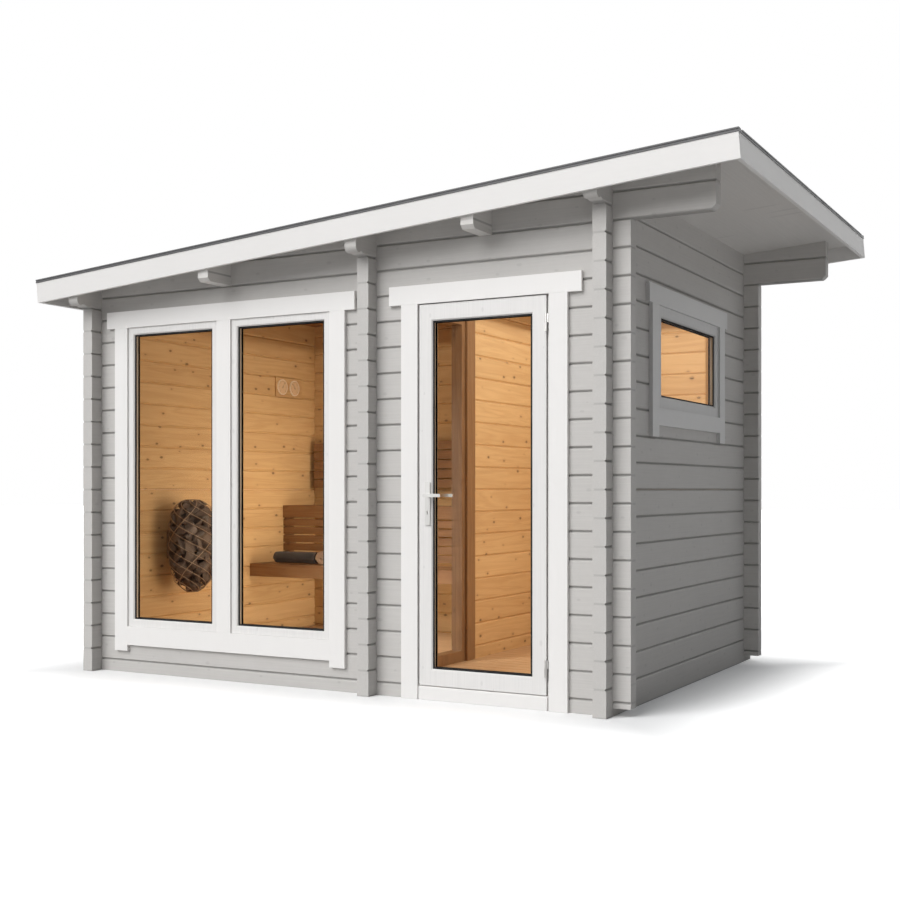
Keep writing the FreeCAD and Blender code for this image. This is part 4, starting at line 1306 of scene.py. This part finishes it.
@dataclass
class Towels(Assembly):
    """Rolled bath towels on the lower bench.

    The ripple is its height and its angle along the roll, and the pinch is its depth and how soon it ends.
    """

    thickness: float = 0.0085
    turns: float = 4.6
    outer_gap: float = 0.0004
    layer_gap: float = 0.0005
    steps_per_turn: int = 40
    first_angle: float = -0.4
    slices: int = 14
    ripple: Pair = (0.0012, 9.0)
    end_pinch: Pair = (0.0016, 5.0)
    slack: float = 0.0012
    end_wobble: float = 0.0012
    end_clearance: float = 0.003
    smallest_radius: float = 0.002
    fold_seed: int = 11

    def roll(self, name: str, low: Vector, high: Vector, finish: str) -> Shape:
        """Wind one towel into a roll as long as its CAD solid.

        Args:
            name: the piece's name.
            low: the CAD roll's lowest corner.
            high: its highest corner.
            finish: the towelling.

        Returns:
            The wound towel.
        """
        along = 0 if high.x - low.x > high.y - low.y else 1
        across = 1 - along
        radius = (high.z - low.z) / 2
        centre = (low + high) / 2
        draw = random.Random(self.fold_seed)
        steps = int(self.turns * self.steps_per_turn)
        pitch = self.thickness + self.layer_gap
        core = radius - self.thickness / 2 - self.outer_gap - self.turns * pitch
        spiral = [(share * self.turns * math.tau + self.first_angle, core + share * self.turns * pitch)
                  for share in (i / steps for i in range(steps + 1))]
        half = len(spiral)
        wobble = [draw.uniform(-self.end_wobble, self.end_wobble) for _ in spiral]
        width = high[along] - low[along] - 2 * self.end_clearance
        rings = []
        for s in range(self.slices + 1):
            share = s / self.slices
            edge = min(share, 1 - share) * 2
            pinch = self.end_pinch[0] * (1 - min(1.0, edge * self.end_pinch[1])) ** 2
            swell = self.ripple[0] * math.sin(share * self.ripple[1]) - pinch - self.slack
            ring = []
            for face, order in ((-0.5, reversed(range(half))), (0.5, range(half))):
                for i in order:
                    angle, r = spiral[i]
                    r = max(self.smallest_radius, r + face * self.thickness + swell * (i / half))
                    point = Vector((0.0, 0.0, centre.z + r * math.sin(angle)))
                    point[across] = centre[across] + r * math.cos(angle)
                    push = wobble[i] if s in (0, self.slices) else 0.0
                    point[along] = low[along] + self.end_clearance + width * share + push
                    ring.append(point)
            rings.append(ring)
        mesh = MeshMaker()
        mesh.stack(rings, closed=False)
        for base, flip in ((0, True), (self.slices * len(rings[0]), False)):
            for i in range(half - 1):
                quad = (base + half - 1 - i, base + half - 2 - i, base + half + i + 1, base + half + i)
                mesh.faces.append(tuple(reversed(quad)) if flip else quad)
        piece = self.piece(name, mesh, finish, "towel_cloth", smooth=True)
        length = sum(math.hypot(b[1] - a[1], (a[1] + b[1]) / 2 * (b[0] - a[0]))
                     for a, b in zip(spiral, spiral[1:]))
        return piece

    def build(self) -> None:
        """Wind both towels over their CAD rolls."""
        for name, (low, high) in zip(("dark_towel", "beige_towel"), islands("rolled_towels")):
            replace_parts(self.roll(name, low, high, name + "ling"), "rolled_towels")


@dataclass(frozen=True)
class SkyLamp:
    """A broad soft light from far away, placed by its angle from the front towards the right."""

    name: str
    strength: float
    rightward_deg: float
    height_deg: float
    softness_deg: float = 60.0
    tone: Triple = (1.0, 1.0, 1.0)

    def hang(self) -> None:
        """Add the light to the scene."""
        data = bpy.data.lights.new(self.name, "SUN")
        data.energy = self.strength
        data.color = self.tone
        data.angle = math.radians(self.softness_deg)
        height, side = math.radians(self.height_deg), math.radians(self.rightward_deg)
        towards = Vector((math.sin(side) * math.cos(height), -math.cos(side) * math.cos(height),
                          math.sin(height)))
        placed(self.name, data).rotation_euler = towards.to_track_quat("Z", "Y").to_euler()


@dataclass(frozen=True)
class Studio:
    """The plain white surroundings, the lamps and the camera.

    The floor's glow, painted light that only the camera sees, grows from the first value to the second over
    the shadow's reach from the walls.
    """

    eye_from_corner: Triple = (2.248, -5.655, 1.08)
    heading_deg: float = 29.0
    focal_px: float = 1268.8
    image_px: float = 900.0
    horizon_px: float = 489.6
    drift_px: float = 0.5
    sensor_mm: float = 36.0
    sky: float = 0.045
    sky_tone: Triple = (0.94, 0.97, 1.0)
    shadow_reach: Pair = (0.08, 0.95)
    back_fade: float = 0.4
    direct_depth: float = 0.5
    floor_reach: float = 60.0
    floor_drop: float = 0.001
    floor_bounce: Triple = (0.57, 0.565, 0.56)
    floor_white: Triple = (0.94, 0.94, 0.94)
    floor_glow: Pair = (0.03, 0.85)
    sky_lamps: tuple[SkyLamp, ...] = (
        SkyLamp("key_light", 2.93, softness_deg=48.0, rightward_deg=-20.0, height_deg=36.0),
        SkyLamp("fill_light", 0.48, rightward_deg=75.0, height_deg=64.0, tone=(0.92, 0.96, 1.0)),
        SkyLamp("rear_light", 1.0, rightward_deg=200.0, height_deg=30.0))
    sauna_tone: Triple = (1.0, 0.88, 0.74)
    entry_tone: Triple = (1.0, 0.97, 0.91)
    lamp_clearance: float = 0.03
    sauna_lamp_top: float = 1.3
    sauna_watts: Triple = (5.2, 11.0, 6.6)
    side_shares: Pair = (0.3, 0.55)
    side_spreads_deg: Triple = (130.0, 80.0, 180.0)
    entry_watts: Pair = (14.0, 15.0)

    def camera(self) -> None:
        """Stand a level camera where the photograph was taken from."""
        corner = Vector((node_box("right_wall_head")[1].x, node_box("front_wall_head")[0].y, 0.0))
        data = bpy.data.cameras.new("photo_camera")
        data.sensor_width = self.sensor_mm
        data.lens = self.sensor_mm * self.focal_px / self.image_px
        data.shift_x = self.drift_px / self.image_px
        data.shift_y = (self.horizon_px - self.image_px / 2) / self.image_px
        camera = placed("photo_camera", data)
        camera.location = corner + Vector(self.eye_from_corner)
        camera.rotation_euler = (math.pi / 2, 0.0, math.radians(self.heading_deg))
        bpy.context.scene.camera = camera

    def ground(self) -> None:
        """Lay a wide white floor under the cabin, with a painted glow that lifts its cast shadow to white
        away from the walls.
        """
        data = bpy.data.meshes.new("studio_floor")
        data.from_pydata([(x * self.floor_reach, y * self.floor_reach, -self.floor_drop)
                          for x, y in ((-1, -1), (1, -1), (1, 1), (-1, 1))], [], [(0, 1, 2, 3)])
        recipe = Recipe("studio_white")
        seen = recipe.ray("Is Camera Ray")
        diffuse = recipe.surface(Base_Color=recipe.mix(seen, self.floor_bounce, self.floor_white),
                                 Roughness=1.0, Specular_IOR_Level=0.0)
        glow = recipe.node("Emission")
        x, y, _ = recipe.axes(recipe.place())
        left, right, front, back = four_walls()
        low = Vector((left[0].x, front[0].y))
        high = Vector((right[1].x, back[1].y - self.back_fade))
        middle, half = (low + high) / 2, (high - low) / 2
        # Painted light: to the camera the floor glows more the farther it lies from the walls, so the cast
        # shadow fades to white away from them.
        beside, before = (
            recipe.sum("SUBTRACT", recipe.sum("ABSOLUTE", recipe.sum("SUBTRACT", part, middle[i])), half[i])
            for i, part in enumerate((x, y)))
        away = recipe.spread(recipe.sum("MAXIMUM", beside, before), *self.shadow_reach, *self.floor_glow)
        recipe.feed(glow.inputs["Strength"], recipe.times(seen, away))
        both = recipe.node("AddShader")
        recipe.feed(both.inputs[0], diffuse.outputs[0])
        recipe.feed(both.inputs[1], glow.outputs[0])
        data.materials.append(recipe.finish(both.outputs[0]))
        floor = placed("studio_floor", data)

    def surroundings(self) -> None:
        """White all round to the eye, in glass and in metal, and a softer sky for the light."""
        recipe = Recipe("studio_sky", sky=True)
        seen = recipe.ray("Is Camera Ray")
        for kind in ("Is Glossy Ray", "Is Transmission Ray"):
            seen = recipe.sum("MAXIMUM", seen, recipe.ray(kind))
        direct = recipe.sum("LESS_THAN", recipe.ray("Diffuse Depth"), self.direct_depth)
        seen = recipe.times(seen, direct)
        sky = recipe.node("Background")
        recipe.feed(sky.inputs["Color"], recipe.mix(seen, self.sky_tone, (1.0, 1.0, 1.0)))
        recipe.feed(sky.inputs["Strength"], recipe.scaled(seen, 1.0 - self.sky, self.sky))
        bpy.context.scene.world = recipe.finish(sky.outputs[0])

    def room_light(self, name: str, low: Vector, high: Vector, power: float, faces: Vector,
                   tone: Triple, spread_deg: float = 180.0) -> None:
        """A lamp that lights one room, unseen itself.

        Args:
            name: the lamp's name.
            low: the lowest corner of the lamp's upright or level sheet.
            high: its highest corner.
            power: the lamp's power in watts.
            faces: the way that it shines.
            tone: the light's colour.
            spread_deg: how widely the light spreads.
        """
        data = bpy.data.lights.new(name, "AREA")
        data.shape = "RECTANGLE"
        span = high - low
        upright = abs(faces.x) > 0.5
        data.size = span.y if upright else span.x
        data.size_y = span.z if upright else span.y
        data.spread = math.radians(spread_deg)
        data.energy = power
        data.color = tone
        light = placed(name, data)
        light.location = (low + high) / 2
        light.rotation_euler = (-faces).to_track_quat("Z", "Y").to_euler()
        light.visible_camera = False
        light.visible_glossy = False
        light.visible_transmission = False

    def build(self) -> None:
        """Set up everything round the cabin."""
        self.camera()
        self.ground()
        self.surroundings()
        for lamp in self.sky_lamps:
            lamp.hang()
        left, right, front, back = four_walls()
        partition = node_box("partition_back_part")
        gap = self.lamp_clearance
        floor, ceiling = node_box("floor")[1].z + gap, left[1].z - gap
        near, far = front[1].y + gap, back[0].y - gap
        front_end, back_begin = (near + (far - near) * share for share in self.side_shares)
        sauna_top = floor + self.sauna_lamp_top
        sides = (("sauna_front", partition[0].x - gap, near, front_end, sauna_top, self.sauna_watts[0]),
                 ("sauna_back", partition[0].x - gap, back_begin, far, sauna_top, self.sauna_watts[1]),
                 ("entry", right[0].x - gap, near, far, ceiling, self.entry_watts[0]))
        for (name, x, begin, end, top, watts), spread in zip(sides, self.side_spreads_deg):
            tone = self.entry_tone if name == "entry" else self.sauna_tone
            self.room_light(name + "_side_lamp", Vector((x, begin, floor)), Vector((x, end, top)), watts,
                            Vector((-1.0, 0.0, 0.0)), tone, spread)
        for name, tone, begin, end, watts in (
                ("sauna", self.sauna_tone, left[1].x + gap, partition[0].x - gap, self.sauna_watts[2]),
                ("entry", self.entry_tone, partition[1].x + gap, right[0].x - gap, self.entry_watts[1])):
            self.room_light(name + "_ceiling_lamp", Vector((begin, near, ceiling)),
                            Vector((end, far, ceiling)), watts, Vector((0.0, 0.0, -1.0)), tone)
        bpy.context.scene.view_settings.view_transform = "Standard"


def main() -> None:
    """Build the cabin's parts in order, then the studio."""
    logging.basicConfig(level=logging.INFO, format="%(name)s: %(message)s")
    finishes = Finishes()
    for kind in (LogWalls, Roof, Glazing, EntranceDoor, Joinery, FloorBoards, StoneHeater, Gauges, Towels):
        assembly = kind(finishes)
        assembly.dress()
        assembly.build()
    Studio().build()


if __name__ == "__main__":
    main()
